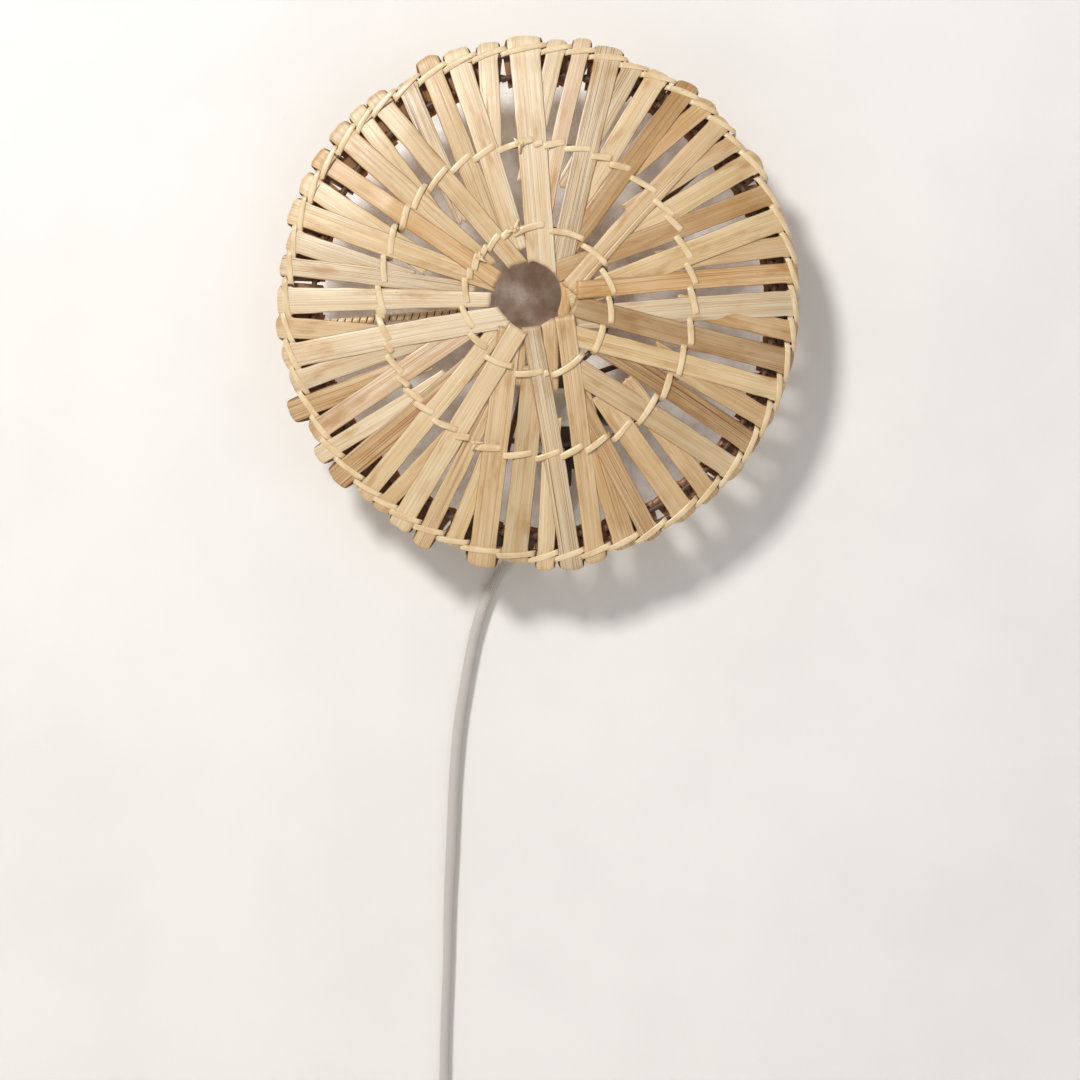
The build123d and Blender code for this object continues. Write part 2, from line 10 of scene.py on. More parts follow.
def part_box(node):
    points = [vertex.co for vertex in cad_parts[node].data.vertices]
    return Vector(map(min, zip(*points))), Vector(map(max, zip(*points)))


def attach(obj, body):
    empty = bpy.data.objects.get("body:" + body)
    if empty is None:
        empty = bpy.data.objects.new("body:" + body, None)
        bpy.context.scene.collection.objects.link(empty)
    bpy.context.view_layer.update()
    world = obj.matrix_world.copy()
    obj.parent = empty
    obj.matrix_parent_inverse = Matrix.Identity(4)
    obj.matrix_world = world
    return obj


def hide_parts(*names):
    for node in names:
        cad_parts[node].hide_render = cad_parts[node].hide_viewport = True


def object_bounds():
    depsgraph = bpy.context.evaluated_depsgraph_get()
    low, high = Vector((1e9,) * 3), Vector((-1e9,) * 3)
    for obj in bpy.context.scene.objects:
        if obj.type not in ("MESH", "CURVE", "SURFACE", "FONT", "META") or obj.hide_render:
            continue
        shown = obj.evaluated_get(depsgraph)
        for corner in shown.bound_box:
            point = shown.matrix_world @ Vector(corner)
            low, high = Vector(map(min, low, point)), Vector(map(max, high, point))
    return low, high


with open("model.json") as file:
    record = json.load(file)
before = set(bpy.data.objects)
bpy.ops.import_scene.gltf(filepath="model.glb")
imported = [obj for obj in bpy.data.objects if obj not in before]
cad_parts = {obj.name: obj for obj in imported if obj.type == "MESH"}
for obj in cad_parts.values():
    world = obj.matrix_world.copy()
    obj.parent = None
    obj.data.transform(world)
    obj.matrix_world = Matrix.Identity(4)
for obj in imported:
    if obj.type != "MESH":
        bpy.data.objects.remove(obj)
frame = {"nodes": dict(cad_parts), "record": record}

# A woven wall lamp. The wall is the plane y = 0 and the lamp faces -Y. The weaving is worked out
# in millimetres from the shade's centre, as (x, y, z) with y measured from the wall, and goes
# into the scene in metres.

MM = 0.001
CAD_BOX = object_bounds()
SLOT_OF = {part["node"]: part["material_slot"] for part in frame["record"]["subparts"]}


def middle(node):
    low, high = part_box(node)
    return (low + high) / 2


SHADE = middle("tail_hoop")                   # the shade's centre
RIM_WIRE_Y = middle("rim_hoop").y / MM
RIM_OFFSET = (middle("rim_hoop") - SHADE) / MM
WIRE = 2.0                                    # radius of the hoops' wire, mm
RIM_WIRE = (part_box("rim_hoop")[1].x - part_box("rim_hoop")[0].x) / MM / 2 - WIRE
STITCH_RADIUS = 178.0
FOLD_BACK = 3.4                               # the tails lie this far behind the rim wire's axis


# ---------------------------------------------------------------- camera, light and stage

VIEW_DISTANCE = 2.0
FRAME_WIDTH = 0.774                           # what the camera sees across, at the shade
SENSOR = 36.0
LOOK_AT = Vector((SHADE.x - 0.0029, -0.070, SHADE.z - 0.1685))


def put_in_scene(name, data):
    thing = bpy.data.objects.new(name, data)
    bpy.context.scene.collection.objects.link(thing)
    return thing


def aim(thing, target):
    thing.rotation_euler = (target - thing.location).to_track_quat("-Z", "Y").to_euler()


def make_camera():
    data = bpy.data.cameras.new("camera")
    data.sensor_width = SENSOR
    data.lens = VIEW_DISTANCE * SENSOR / FRAME_WIDTH
    camera = put_in_scene("camera", data)
    camera.location = LOOK_AT + Vector((0, -VIEW_DISTANCE, 0))
    aim(camera, LOOK_AT)
    bpy.context.scene.camera = camera


def area_light(name, place, size, power, colour):
    """A round light that points at the shade."""
    data = bpy.data.lights.new(name, "AREA")
    data.shape = "DISK"
    data.size = size
    data.energy = power
    data.color = colour
    light = put_in_scene(name, data)
    light.location = place
    aim(light, SHADE)


def make_lights():
    area_light("key", (-1.02, -2.08, 1.28), 0.5, 50, (1.0, 0.985, 0.96))
    area_light("fill", (1.4, -2.6, 0.3), 2.2, 8, (0.96, 0.98, 1.0))
    area_light("back_fill", (0.3, 2.2, 0.9), 1.6, 14, (1.0, 0.99, 0.97))
    world = bpy.data.worlds.new("studio")
    bpy.context.scene.world = world
    world.use_nodes = True
    background = world.node_tree.nodes["Background"]
    background.inputs["Color"].default_value = (0.93, 0.95, 1.0, 1)
    background.inputs["Strength"].default_value = 0.30
    bpy.context.scene.view_settings.view_transform = "Standard"


# ---------------------------------------------------------------- materials

def new_material(name):
    material = bpy.data.materials.new(name)
    material.use_nodes = True
    return material


class Nodes:
    """Short ways to add and join shader nodes in one material."""

    def __init__(self, material):
        self.tree = material.node_tree
        self.shader = self.tree.nodes["Principled BSDF"]
        self.output = self.tree.nodes["Material Output"]

    def join(self, source, target):
        self.tree.links.new(source, target)

    def add(self, kind, inputs=None, **settings):
        """A node with its inputs filled: a socket is joined, a plain value is set."""
        node = self.tree.nodes.new(kind)
        for key, value in settings.items():
            setattr(node, key, value)
        for key, value in (inputs or {}).items():
            if isinstance(value, bpy.types.NodeSocket):
                self.join(value, node.inputs[key])
            else:
                node.inputs[key].default_value = value
        return node

    def attribute(self, name):
        return self.add("ShaderNodeAttribute", attribute_name=name).outputs

    def parts(self, vector):
        return self.add("ShaderNodeSeparateXYZ", {"Vector": vector}).outputs

    def place(self):
        """Where a point is on its own object, in metres."""
        return self.add("ShaderNodeTexCoord").outputs["Object"]

    def stretched(self, vector, scale, offset=(0, 0, 0)):
        mapping = self.add("ShaderNodeMapping", {"Vector": vector, "Scale": scale, "Location": offset})
        return mapping.outputs["Vector"]

    def noise(self, vector, scale, detail=3.0, rough=0.5):
        return self.add("ShaderNodeTexNoise", {"Vector": vector, "Scale": scale, "Detail": detail,
                                               "Roughness": rough}).outputs["Fac"]

    def grained(self, grain, across, along, offset=(0, 0, 0), detail=2.0, rough=0.5):
        """Noise drawn out along the grain: its scale across and along, per millimetre."""
        return self.noise(self.stretched(grain, (across, along, 1), offset), 1.0, detail, rough)

    def ramp(self, value, low, high, start=0.0, end=1.0):
        """Maps the span low..high of a value onto start..end, clamped and smooth."""
        return self.add("ShaderNodeMapRange", {"Value": value, "From Min": low, "From Max": high,
                                               "To Min": start, "To Max": end},
                        interpolation_type="SMOOTHSTEP").outputs["Result"]

    def math(self, operation, first, second):
        return self.add("ShaderNodeMath", {0: first, 1: second}, operation=operation).outputs["Value"]

    def mix(self, factor, first, second, blend="MIX"):
        first, second = ((*c, 1) if isinstance(c, tuple) else c for c in (first, second))
        # A Mix node names all its kinds of inputs alike; 0, 6, 7 and output 2 are the ones for colour.
        return self.add("ShaderNodeMix", {0: factor, 6: first, 7: second}, data_type="RGBA",
                        blend_type=blend).outputs[2]

    def bump(self, height, strength, distance):
        node = self.add("ShaderNodeBump", {"Height": height, "Strength": strength, "Distance": distance})
        self.join(node.outputs["Normal"], self.shader.inputs["Normal"])

    def paint(self, colour):
        self.join(colour, self.shader.inputs["Base Color"])

    def rough(self, value):
        self.join(value, self.shader.inputs["Roughness"])

    def set(self, name, value):
        self.shader.inputs[name].default_value = value


def linear(red, green, blue):
    """A colour given as it looks on a screen, 0 to 255, as the shader's linear numbers."""
    return tuple(((c / 255 + 0.055) / 1.055) ** 2.4 if c > 10 else c / 3295 for c in (red, green, blue))


WARM_TINT, DARK_TINT, LINE_TINT = linear(236, 204, 152), linear(205, 168, 120), linear(176, 134, 90)
# The third of these darkens the splints' edges: partly their own cut-edge colour, partly painted shade where
# one splint lies on another.
BLOOM, SPECK, SEAM_AND_SHADE = linear(247, 226, 190), linear(118, 84, 52), linear(140, 98, 58)
CUT_END, STAIN = linear(172, 130, 84), linear(168, 124, 78)
# The last of these is painted shade for the tails' inner faces, which lie behind the rim.
PITH, OLD_PITH, PAINTED_TAIL_SHADE = linear(214, 186, 142), linear(184, 146, 100), linear(150, 104, 64)


def bamboo_material():
    """Split bamboo: streaks and fibres along the strip, darker seams with painted shade between splints,
    stains, a pale inner face and painted shade on the tails' inner faces.
    """
    material = new_material("split_bamboo")
    n = Nodes(material)
    grain = n.attribute("grain")["Vector"]
    painted = n.attribute("tone")
    tone, streaked = painted["Color"], painted["Alpha"]
    edge, inside, tip = n.parts(n.attribute("side")["Vector"])

    wander = n.grained(grain, 0.05, 0.02)
    bands = n.grained(grain, 0.24, 0.008)
    streaks = n.grained(grain, 1.15, 0.010, (7, 3, 1), 3.0, 0.6)
    fibres = n.grained(grain, 4.4, 0.035, (2, 9, 4), 2.0, 0.6)
    lines = n.grained(grain, 2.2, 0.006, (11, 5, 2), 1.0)
    cloud = n.grained(grain, 0.10, 0.026, (3, 8, 6), 3.0, 0.6)
    specks = n.grained(grain, 0.55, 0.16, (5, 1, 7), 2.0, 0.6)

    warm = n.mix(1.0, tone, WARM_TINT, "MULTIPLY")
    colour = n.mix(n.ramp(bands, 0.35, 0.7, 0.0, 0.50), tone, warm)
    colour = n.mix(n.ramp(wander, 0.3, 0.7, 0.35, 0.0), colour, BLOOM)
    colour = n.mix(n.ramp(streaks, 0.3, 0.72, 0.0, 0.50), colour, warm)
    dark = n.mix(1.0, colour, DARK_TINT, "MULTIPLY")
    colour = n.mix(n.ramp(fibres, 0.36, 0.72, 0.0, 0.34), colour, dark)
    pinstripes = n.math("MULTIPLY", n.ramp(lines, 0.54, 0.66), streaked)
    colour = n.mix(pinstripes, colour, n.mix(1.0, colour, LINE_TINT, "MULTIPLY"))
    colour = n.mix(n.ramp(cloud, 0.50, 0.78, 0.0, 0.75), colour, dark)
    colour = n.mix(n.ramp(specks, 0.755, 0.80, 0.0, 0.75), colour, SPECK)
    # Darker edges: partly the cut edge's own colour, partly painted shade where splints overlap.
    seam_and_shade = n.math("ADD", edge, n.math("MULTIPLY", n.math("SUBTRACT", fibres, 0.5), 0.6))
    colour = n.mix(n.ramp(seam_and_shade, 0.05, 0.65, 0.80, 0.0), colour, SEAM_AND_SHADE)
    colour = n.mix(n.ramp(tip, 0.0, 2.2, 0.35, 0.0), colour, CUT_END)
    pith = n.mix(n.ramp(streaks, 0.3, 0.7, 0.1, 0.6), PITH, OLD_PITH)
    colour = n.mix(n.ramp(inside, 0.0, 1.0), colour, pith)
    # Painted shade on the tails' inner faces.
    n.paint(n.mix(n.ramp(inside, 1.0, 2.0), colour, PAINTED_TAIL_SHADE))
    n.rough(n.ramp(fibres, 0.3, 0.75, 0.30, 0.46))
    n.set("Specular IOR Level", 0.55)
    relief = n.math("ADD", n.math("MULTIPLY", streaks, 1.0), n.math("MULTIPLY", fibres, 0.55))
    relief = n.math("SUBTRACT", relief, n.math("MULTIPLY", n.ramp(lines, 0.6, 0.7), 0.5))
    n.bump(relief, 0.45, 0.00028)
    return material


def binder_material(name, pale, deep, stained):
    """Cane skin: a little glossy, with fine fibres along it."""
    material = new_material(name)
    n = Nodes(material)
    grain = n.attribute("grain")["Vector"]
    fibres = n.grained(grain, 2.6, 0.06, detail=3.0, rough=0.6)
    cloud = n.grained(grain, 0.2, 0.07, (4, 2, 1), 3.0)
    stain = n.grained(grain, 0.35, 0.12, (9, 6, 3))
    colour = n.mix(n.ramp(cloud, 0.35, 0.7), linear(*pale), linear(*deep))
    colour = n.mix(n.ramp(fibres, 0.5, 0.75, 0.0, 0.45), colour, linear(*stained))
    n.paint(n.mix(n.ramp(stain, 0.68, 0.8, 0.0, 0.6), colour, STAIN))
    n.rough(n.ramp(fibres, 0.3, 0.8, 0.24, 0.42))
    n.set("Coat Weight", 0.25)
    n.set("Coat Roughness", 0.22)
    n.bump(fibres, 0.5, 0.00025)
    return material


BRAID_TURNS, BRAID_PITCH = 12.0, 5.2          # ribs round the flex, and their slope
YARN_SHADOW, YARN, YARN_GREY, FUZZ = (linear(186, 178, 170), linear(228, 223, 216), linear(206, 198, 189),
                                      linear(244, 241, 236))


def textile_material():
    """Braided off-white yarn: two crossing sets of ribs, fuzz and a slight mottle."""
    material = new_material("braided_textile")
    n = Nodes(material)
    around, along, _ = n.parts(n.attribute("grain")["Vector"])
    place = n.place()
    ribs = []
    for sense in (1, -1):
        phase = n.math("ADD", n.math("MULTIPLY", around, sense * BRAID_TURNS * 2 * pi),
                       n.math("MULTIPLY", along, 2 * pi * BRAID_TURNS / (4 * BRAID_PITCH)))
        ribs.append(n.math("SINE", phase, 0))
    braid = n.math("MAXIMUM", *ribs)
    fuzz, mottle = n.noise(place, 2600, 3.0, 0.7), n.noise(place, 210, 3.0, 0.6)
    colour = n.mix(n.ramp(braid, 0.1, 1.0), YARN_SHADOW, YARN)
    colour = n.mix(n.ramp(mottle, 0.35, 0.68, 0.0, 0.5), colour, YARN_GREY)
    n.paint(n.mix(n.ramp(fuzz, 0.52, 0.72, 0.0, 0.35), colour, FUZZ))
    n.set("Roughness", 0.88)
    n.set("Sheen Weight", 0.35)
    n.set("Sheen Roughness", 0.45)
    n.bump(n.math("ADD", braid, n.math("MULTIPLY", fuzz, 1.2)), 0.8, 0.00028)
    return material


def painted_material(name, colour, worn, roughness=0.42, metallic=0.0, grain_size=900, relief=0.00006):
    """A moulded, cast or painted surface: fine texture, uneven gloss and a little dust or wear."""
    material = new_material(name)
    n = Nodes(material)
    place = n.place()
    fine, broad = n.noise(place, grain_size, 4.0, 0.6), n.noise(place, 45, 3.0, 0.6)
    rubbed = n.mix(n.ramp(broad, 0.42, 0.72, 0.0, 0.55), linear(*colour), linear(*worn))
    n.paint(n.mix(n.ramp(fine, 0.55, 0.8, 0.0, 0.35), rubbed, linear(*worn)))
    n.rough(n.ramp(broad, 0.3, 0.7, roughness - 0.07, roughness + 0.10))
    n.set("Metallic", metallic)
    n.bump(fine, 0.4, relief)
    return material


def glass_material():
    """Opal bulb glass."""
    material = painted_material("opal_glass", (244, 242, 234), (232, 229, 218), 0.12, 0.0, 300, 0.00001)
    n = Nodes(material)
    n.set("Subsurface Weight", 0.35)
    n.set("Subsurface Radius", (0.004, 0.0038, 0.003))
    n.set("Coat Weight", 0.5)
    n.set("Coat Roughness", 0.05)
    return material


# For each slot: the material's name, its tone, its worn tone and its roughness; then, where they
# are not the usual ones, how metallic it is, its grain's size and its relief.
PAINTED = {
    "hoop_wire": ("brown_wire", (86, 58, 38), (120, 84, 56), 0.5),
    "dark_steel": ("dark_paint", (74, 58, 47), (104, 86, 72), 0.45),
    "bakelite": ("dark_moulding", (40, 31, 27), (62, 50, 44), 0.3),
    "insert_ceramic": ("ceramic", (228, 224, 214), (206, 199, 186), 0.6),
    "terminal_plastic": ("nylon", (220, 219, 214), (200, 198, 190), 0.5),
    "bulb_cap": ("bulb_cap_metal", (196, 196, 198), (150, 150, 154), 0.34, 1.0),
    "tie_fabric": ("tie_weave", (206, 198, 184), (176, 166, 150), 0.85, 0.0, 1800, 0.0002),
    "switch_shell": ("white_moulding", (236, 234, 228), (222, 219, 211), 0.36),
    "rocker": ("rocker_moulding", (224, 222, 216), (208, 205, 198), 0.32),
    "plug_plastic": ("plug_moulding", (236, 234, 228), (220, 217, 209), 0.38),
    "pin_nickel": ("nickel", (206, 202, 194), (160, 156, 148), 0.22, 1.0, 500, 0.00002),
}


def make_materials():
    splint_slots = ("splint_pale", "splint_straw", "splint_tan", "splint_honey")
    materials = dict.fromkeys(splint_slots, bamboo_material())
    materials["flex_textile"] = textile_material()
    materials["binder"] = binder_material("cane_binder", (236, 212, 172), (219, 187, 141), (188, 150, 104))
    materials["bulb_glass"] = glass_material()
    materials.update({slot: painted_material(*values) for slot, values in PAINTED.items()})
    return materials


MATERIALS = make_materials()
# A dark brown binder for the lashing behind the tails.
DARK_BINDER = binder_material("dark_cane_binder", (118, 84, 54), (94, 66, 41), (70, 48, 30))


# ---------------------------------------------------------------- mesh helpers

def mesh_object(name, points, faces, values_at_points, *nodes, material=None):
    """A piece that replaces CAD nodes, from points in metres and the values that its material reads."""
    mesh = bpy.data.meshes.new(name)
    mesh.from_pydata([tuple(p) for p in points], [], faces)
    for label, values in values_at_points.items():
        kind, field = ("FLOAT_COLOR", "color") if label == "tone" else ("FLOAT_VECTOR", "vector")
        data = mesh.attributes.new(label, kind, "POINT").data
        data.foreach_set(field, np.asarray(values, np.float32).ravel())
    mesh.shade_smooth()
    slot = SLOT_OF[nodes[0]]
    mesh.materials.append(material or MATERIALS[slot])
    mesh.update()
    piece = put_in_scene(name, mesh)
    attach(piece, "root")
    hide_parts(*nodes)
    return piece


def in_scene(points):
    """Millimetres from the shade's centre to metres in the scene."""
    return np.asarray(points, float) * MM + np.array((SHADE.x, 0.0, SHADE.z))


def grid_faces(rows, columns, start=0, around=False, flip=False):
    """Quads over a grid of points, closed round the columns when asked."""
    faces = []
    for row in range(rows - 1):
        for column in range(columns if around else columns - 1):
            following = (column + 1) % columns
            quad = (start + row * columns + column, start + row * columns + following,
                    start + (row + 1) * columns + following, start + (row + 1) * columns + column)
            faces.append(quad[::-1] if flip else quad)
    return faces


def wave(value, seed):
    """A smooth repeatable wobble between about -1 and 1."""
    return 2 * noise.noise(Vector((value, seed * 7.31, 2.7)))


def polar(radius, angle, y=0.0, centre=(0.0, 0.0)):
    """The point at a radius and an angle in degrees round a centre in the shade's plane."""
    turn = radians(angle)
    return centre[0] + radius * cos(turn), y, centre[1] + radius * sin(turn)


# ---------------------------------------------------------------- the splints

CREAM, PALE, GREY, PINK = (236, 226, 203), (231, 215, 182), (219, 209, 187), (228, 211, 188)
STRAW, SAND, TAN, HONEY = (224, 206, 167), (217, 195, 156), (208, 182, 140), (214, 181, 131)
DULL, BROWN, FAWN, OLIVE = (204, 186, 152), (191, 159, 110), (202, 170, 123), (170, 140, 95)

# Each splint: angle at the rim, lean, width at the rim and at the tip, how far along itself the
# tip stays from the centre, layer, the radius that its fold reaches, its tone and whether its end
# is torn.
Splint = namedtuple("Splint", "angle lean rim_width tip_width tip layer fold tone torn")
SPLINTS = tuple(Splint(*row) for row in (
    (0.5, 3.7, 18.5, 17, 22, 2, 183, GREY, 0), (7.5, -2.5, 14.5, 13, 24, 5, 184, HONEY, 0),
    (13.8, -6.8, 15, 15, 84, 0, 184, TAN, 1), (20.2, 1.1, 17.8, 17, 17, 2, 184, STRAW, 0),
    (26.4, -6.1, 15.5, 15, 1, 4, 183, BROWN, 0), (34.6, -3.4, 16.5, 15, 58, 0, 187, STRAW, 0),
    (40.6, -7.6, 13, 13, 86, 0, 183, TAN, 1), (45.9, 2.0, 14.5, 14, 20, 4, 186, SAND, 0),
    (51.4, -10.4, 13.5, 13, 86, 0, 189, HONEY, 1), (56.8, -3.4, 15, 15, 41, 2, 191, BROWN, 0),
    (63.8, -4.5, 15.2, 15, 60, 1, 188, PALE, 0), (69.7, -9.2, 14, 14.6, 80, 0, 186, GREY, 1),
    (75.5, 1.8, 18.4, 17, 22, 3, 192, GREY, 0), (82.0, -4.5, 12, 12, 45, 1, 194, PINK, 0),
    (87.7, -10.0, 13, 14, 83, 0, 192, CREAM, 1), (94.4, 0.2, 22, 20, 20, 4, 195, CREAM, 0),
    (103.0, -11.0, 14.5, 15, 88, 0, 194, CREAM, 1), (109.4, -1.9, 16.8, 15, 42, 2, 195, CREAM, 0),
    (115.9, -4.9, 15.5, 16, 55, 1, 198, SAND, 0), (122.3, -9.3, 14, 14, 77, 0, 190, GREY, 1),
    (128.8, 1.2, 15, 14, 25, 3, 195, SAND, 0), (134.6, -7.6, 13, 13, 60, 1, 196, STRAW, 0),
    (139.8, -2.3, 16, 15, 45, 2, 197, SAND, 0), (146.8, -1.5, 14, 13, 37, 4, 197, HONEY, 0),
    (153.3, -7.3, 15, 16, 83, 0, 196, PALE, 1), (159.2, 0.8, 17.5, 13, 37, 3, 195, PALE, 0),
    (165.7, -4.7, 15.5, 15, 95, 1, 190, GREY, 1), (171.2, 0.8, 13.5, 12, 50, 2, 192, GREY, 0),
    (178.9, 1.1, 19, 11, 38, 3, 192, CREAM, 0), (185.3, -10.3, 15, 14, 95, 0, 193, SAND, 1),
    (191.3, -1.3, 17.6, 17, 26, 3, 191, CREAM, 0), (197.0, 0.5, 15.2, 14, 60, 1, 190, GREY, 0),
    (203.0, -2.5, 15, 16, 91, 0, 198, TAN, 1), (208.6, 5.4, 15, 16, 45, 2, 190, PINK, 0),
    (213.9, -2.9, 12.5, 14, 85, 0, 196, CREAM, 1), (219.8, 0.0, 16.5, 16, 45, 1, 196, TAN, 0),
    (226.3, 4.6, 14, 13, 28, 2, 189, STRAW, 0), (231.4, -5.4, 12, 13, 85, 0, 189, SAND, 1),
    (236.5, 2.1, 15.6, 15, 24, 4, 191, PALE, 0), (242.7, 1.1, 12.3, 12, 60, 1, 195, SAND, 0),
    (249.0, -1.0, 12, 13, 85, 0, 185, STRAW, 1), (255.8, 7.2, 19, 17, 20, 3, 193, SAND, 0),
    (263.2, 0.6, 18.5, 17, 45, 2, 186, DULL, 0), (270.4, -3.4, 12, 13, 80, 0, 190, PALE, 1),
    (275.9, 3.9, 15, 14, 14, 3, 191, GREY, 0), (281.7, -4.3, 14.2, 14.2, 9.8, 5, 188, SAND, 0),
    (288.9, -1.9, 17, 16, 57, 1, 184, TAN, 0), (294.9, 3.1, 14, 13, 62, 2, 185, BROWN, 0),
    (304.0, 1.3, 17.2, 16, 75, 3, 184, SAND, 0), (311.2, -4.2, 14, 15.8, 78, 0, 184, TAN, 1),
    (319.0, 9.0, 16, 18, 40, 4, 184.5, DULL, 0), (326.3, 0.7, 15.8, 15, 50, 1, 183, OLIVE, 0),
    (333.0, -3.5, 15, 16, 83, 0, 183, TAN, 1), (340.0, 5.3, 15.2, 15, 25, 3, 183, STRAW, 0),
    (347.0, -1.5, 17.8, 16, 20, 3, 183, OLIVE, 0), (354.0, -7.0, 15, 16, 92, 0, 183, FAWN, 1),
))

# Cracks that run along some splints: (share of the half width, start, end along the splint).
CRACKS = {
    8: ((0.42, 22, 150),), 13: ((-0.35, 30, 90), (0.3, 60, 130)), 16: ((0.74, 22, 70),),
    17: ((-0.2, 100, 150),), 19: ((0.1, 95, 176), (-0.3, 60, 110)), 22: ((0.1, 90, 150),),
    25: ((-0.25, 100, 150), (0.35, 84, 130)), 34: ((0.25, 50, 120),), 37: ((-0.05, 40, 165),),
    40: ((0.2, 62, 120),), 44: ((-0.2, 85, 140),), 45: ((0.5, 20, 80),), 51: ((-0.45, 45, 100),),
    52: ((0.1, 60, 165),), 54: ((0.3, 40, 70),), 3: ((0.1, 90, 140),), 6: ((-0.3, 60, 120),),
}

# Short strips near the hole: lower end (z, x from and to), upper end (z, x from and to), whether
# it lies on the splints below it, and its tone.
HOLE_SIDE = ("splint_46_end", -14.0, (9.6, 19.0), 18.0, (10.2, 19.6), 1, HONEY)
FILLERS = (
    (45, ("splint_45_lining", -62.0, (2.0, 10.5), -10.0, (-3.5, 10.5), 0, TAN)),
    (43, ("splint_43_lining", -58.0, (-27.0, -14.0), -20.5, (-23.5, -12.0), 0, SAND)),
)

# How strongly the dark fibre lines show on a splint; the others have PLAIN_STREAKS.
STREAKS = {2: 0.6, 10: 0.8, 12: 0.7, 13: 1.0, 19: 0.5, 20: 0.9, 27: 0.7, 28: 0.8, 31: 0.55, 33: 0.9,
           34: 0.6, 36: 1.0, 40: 0.8, 45: 0.8, 47: 0.7, 48: 0.8, 52: 1.0}
PLAIN_STREAKS = 0.32

HOLE_CENTRE = (-10.5, 7.0)
HOLE_RADIUS = 23.3
CROWN, CROWN_POWER = 8.8, 4.8                 # how far the shade stands proud in the middle
LEG_BACK_Y = RIM_WIRE_Y - WIRE - 0.5
THICKNESS = 0.62
LAYER_GAP = 0.10                              # air between a splint and the next one laid on it
CUT, TORN = 0.35, 1.9                         # how ragged the two kinds of ends are
TAIL_END_RADIUS = 159.0
FOLD_FLARE = 0.10                             # a splint is this much wider beyond its stitch
TAIL_SPREAD = 0.42                            # and its tail this much wider than the splint
FOLD_ROUNDING = 1.7                           # how far its fold falls back at the sides, mm
TAIL_SPLAY = 4.0                              # how far a tail's end may lean to one side
LEG_ROWS, FOLD_ROWS, TAIL_ROWS = 44, 13, 5    # rows of points along a splint
ROWS = LEG_ROWS + FOLD_ROWS + TAIL_ROWS

GRID_HALF = 205                               # the height map covers the shade at 1 mm a cell
GRID_AXIS = np.arange(-GRID_HALF, GRID_HALF + 1, dtype=float)
GRID_X, GRID_Z = np.meshgrid(GRID_AXIS, GRID_AXIS, indexing="ij")
TOP = np.zeros(GRID_X.shape)                  # how high the splints already laid stand


def rim_wire_radius(angle):
    """The rim hoop is not quite round the shade's centre."""
    return RIM_WIRE + RIM_OFFSET.x * cos(radians(angle)) + RIM_OFFSET.z * sin(radians(angle))


def roll_of(row):
    """How far inside its outermost point a splint's fold begins."""
    return 0.75 * (row.fold - rim_wire_radius(row.angle)) + 3.0


def base_y(radius):
    """Back of the lowest layer of splints."""
    share = np.clip(radius / STITCH_RADIUS, 0, 1.12)
    return LEG_BACK_Y - CROWN * (1 - share ** CROWN_POWER)


def look_up(x, z):
    column = np.clip(np.rint(x + GRID_HALF).astype(int), 0, 2 * GRID_HALF)
    row = np.clip(np.rint(z + GRID_HALF).astype(int), 0, 2 * GRID_HALF)
    return TOP[column, row]


def smooth_over(values, sigma):
    reach = int(3 * sigma)
    kernel = np.exp(-0.5 * (np.arange(-reach, reach + 1) / sigma) ** 2)
    padded = np.pad(values, reach, mode="edge")
    return np.convolve(padded, kernel / kernel.sum(), mode="valid")


def widest(values, reach):
    padded = np.pad(values, reach, mode="edge")
    windows = np.lib.stride_tricks.sliding_window_view(padded, 2 * reach + 1)
    return windows.max(axis=1)


def drape(support, spread, soft):
    """A strip's height over what it lies on, in 1 mm steps: it bridges dips and bends gently."""
    return np.maximum(smooth_over(widest(support, spread), soft), support)


class Strip:
    """The planform of one splint: straight, tapered, and a little bowed."""

    def __init__(self, row, seed):
        self.row, self.seed = row, seed
        self.tip = row.tip
        self.roll = roll_of(row)
        heading = radians(row.angle + row.lean)
        self.along = np.array((cos(heading), sin(heading)))
        self.across = np.array((sin(heading), -cos(heading)))
        self.offset = STITCH_RADIUS * sin(radians(row.lean))
        self.rim = STITCH_RADIUS * cos(radians(row.lean))
        self.bow = 0.9 * wave(seed * 1.7, 3)

    def width(self, t):
        share = np.clip((self.rim - t) / (self.rim - self.tip), -0.2, 1)
        return self.row.rim_width + (self.row.tip_width - self.row.rim_width) * share

    def line(self, t):
        share = np.clip((t - self.tip) / (self.rim - self.tip), 0, 1)
        return self.offset + self.bow * np.sin(pi * share)

    def point(self, t, across):
        side = self.line(t) + across
        return t * self.along[0] + side * self.across[0], t * self.along[1] + side * self.across[1]

    def own(self, x, z):
        """A place in the shade's plane as (along, across) the splint."""
        return x * self.along[0] + z * self.along[1], x * self.across[0] + z * self.across[1]

    def reach_radius(self, across, radius):
        """How far along the splint a circle round the shade's centre is met."""
        side = self.offset + across
        return np.sqrt(np.maximum(radius ** 2 - side ** 2, 0))


def end_line(strip, shares):
    """Where each column of a splint ends: cut or torn across, or cut off round the hole."""
    half = strip.width(strip.tip) / 2
    hole_t, hole_side = strip.own(*HOLE_CENTRE)
    slant = 1.2 * wave(strip.seed * 2.3, 5)
    raggedness = TORN if strip.row.torn else CUT
    ends = []
    for index, share in enumerate(shares):
        t = strip.tip + raggedness * wave(index * 1.9, strip.seed + 40) + slant * share
        radius = HOLE_RADIUS + 0.7 * wave(strip.seed + index * 0.35, 8)
        gap = radius ** 2 - (strip.offset + share * half - hole_side) ** 2
        ends.append(max(t, hole_t + sqrt(gap)) if gap > 0 else t)
    return np.array(ends)


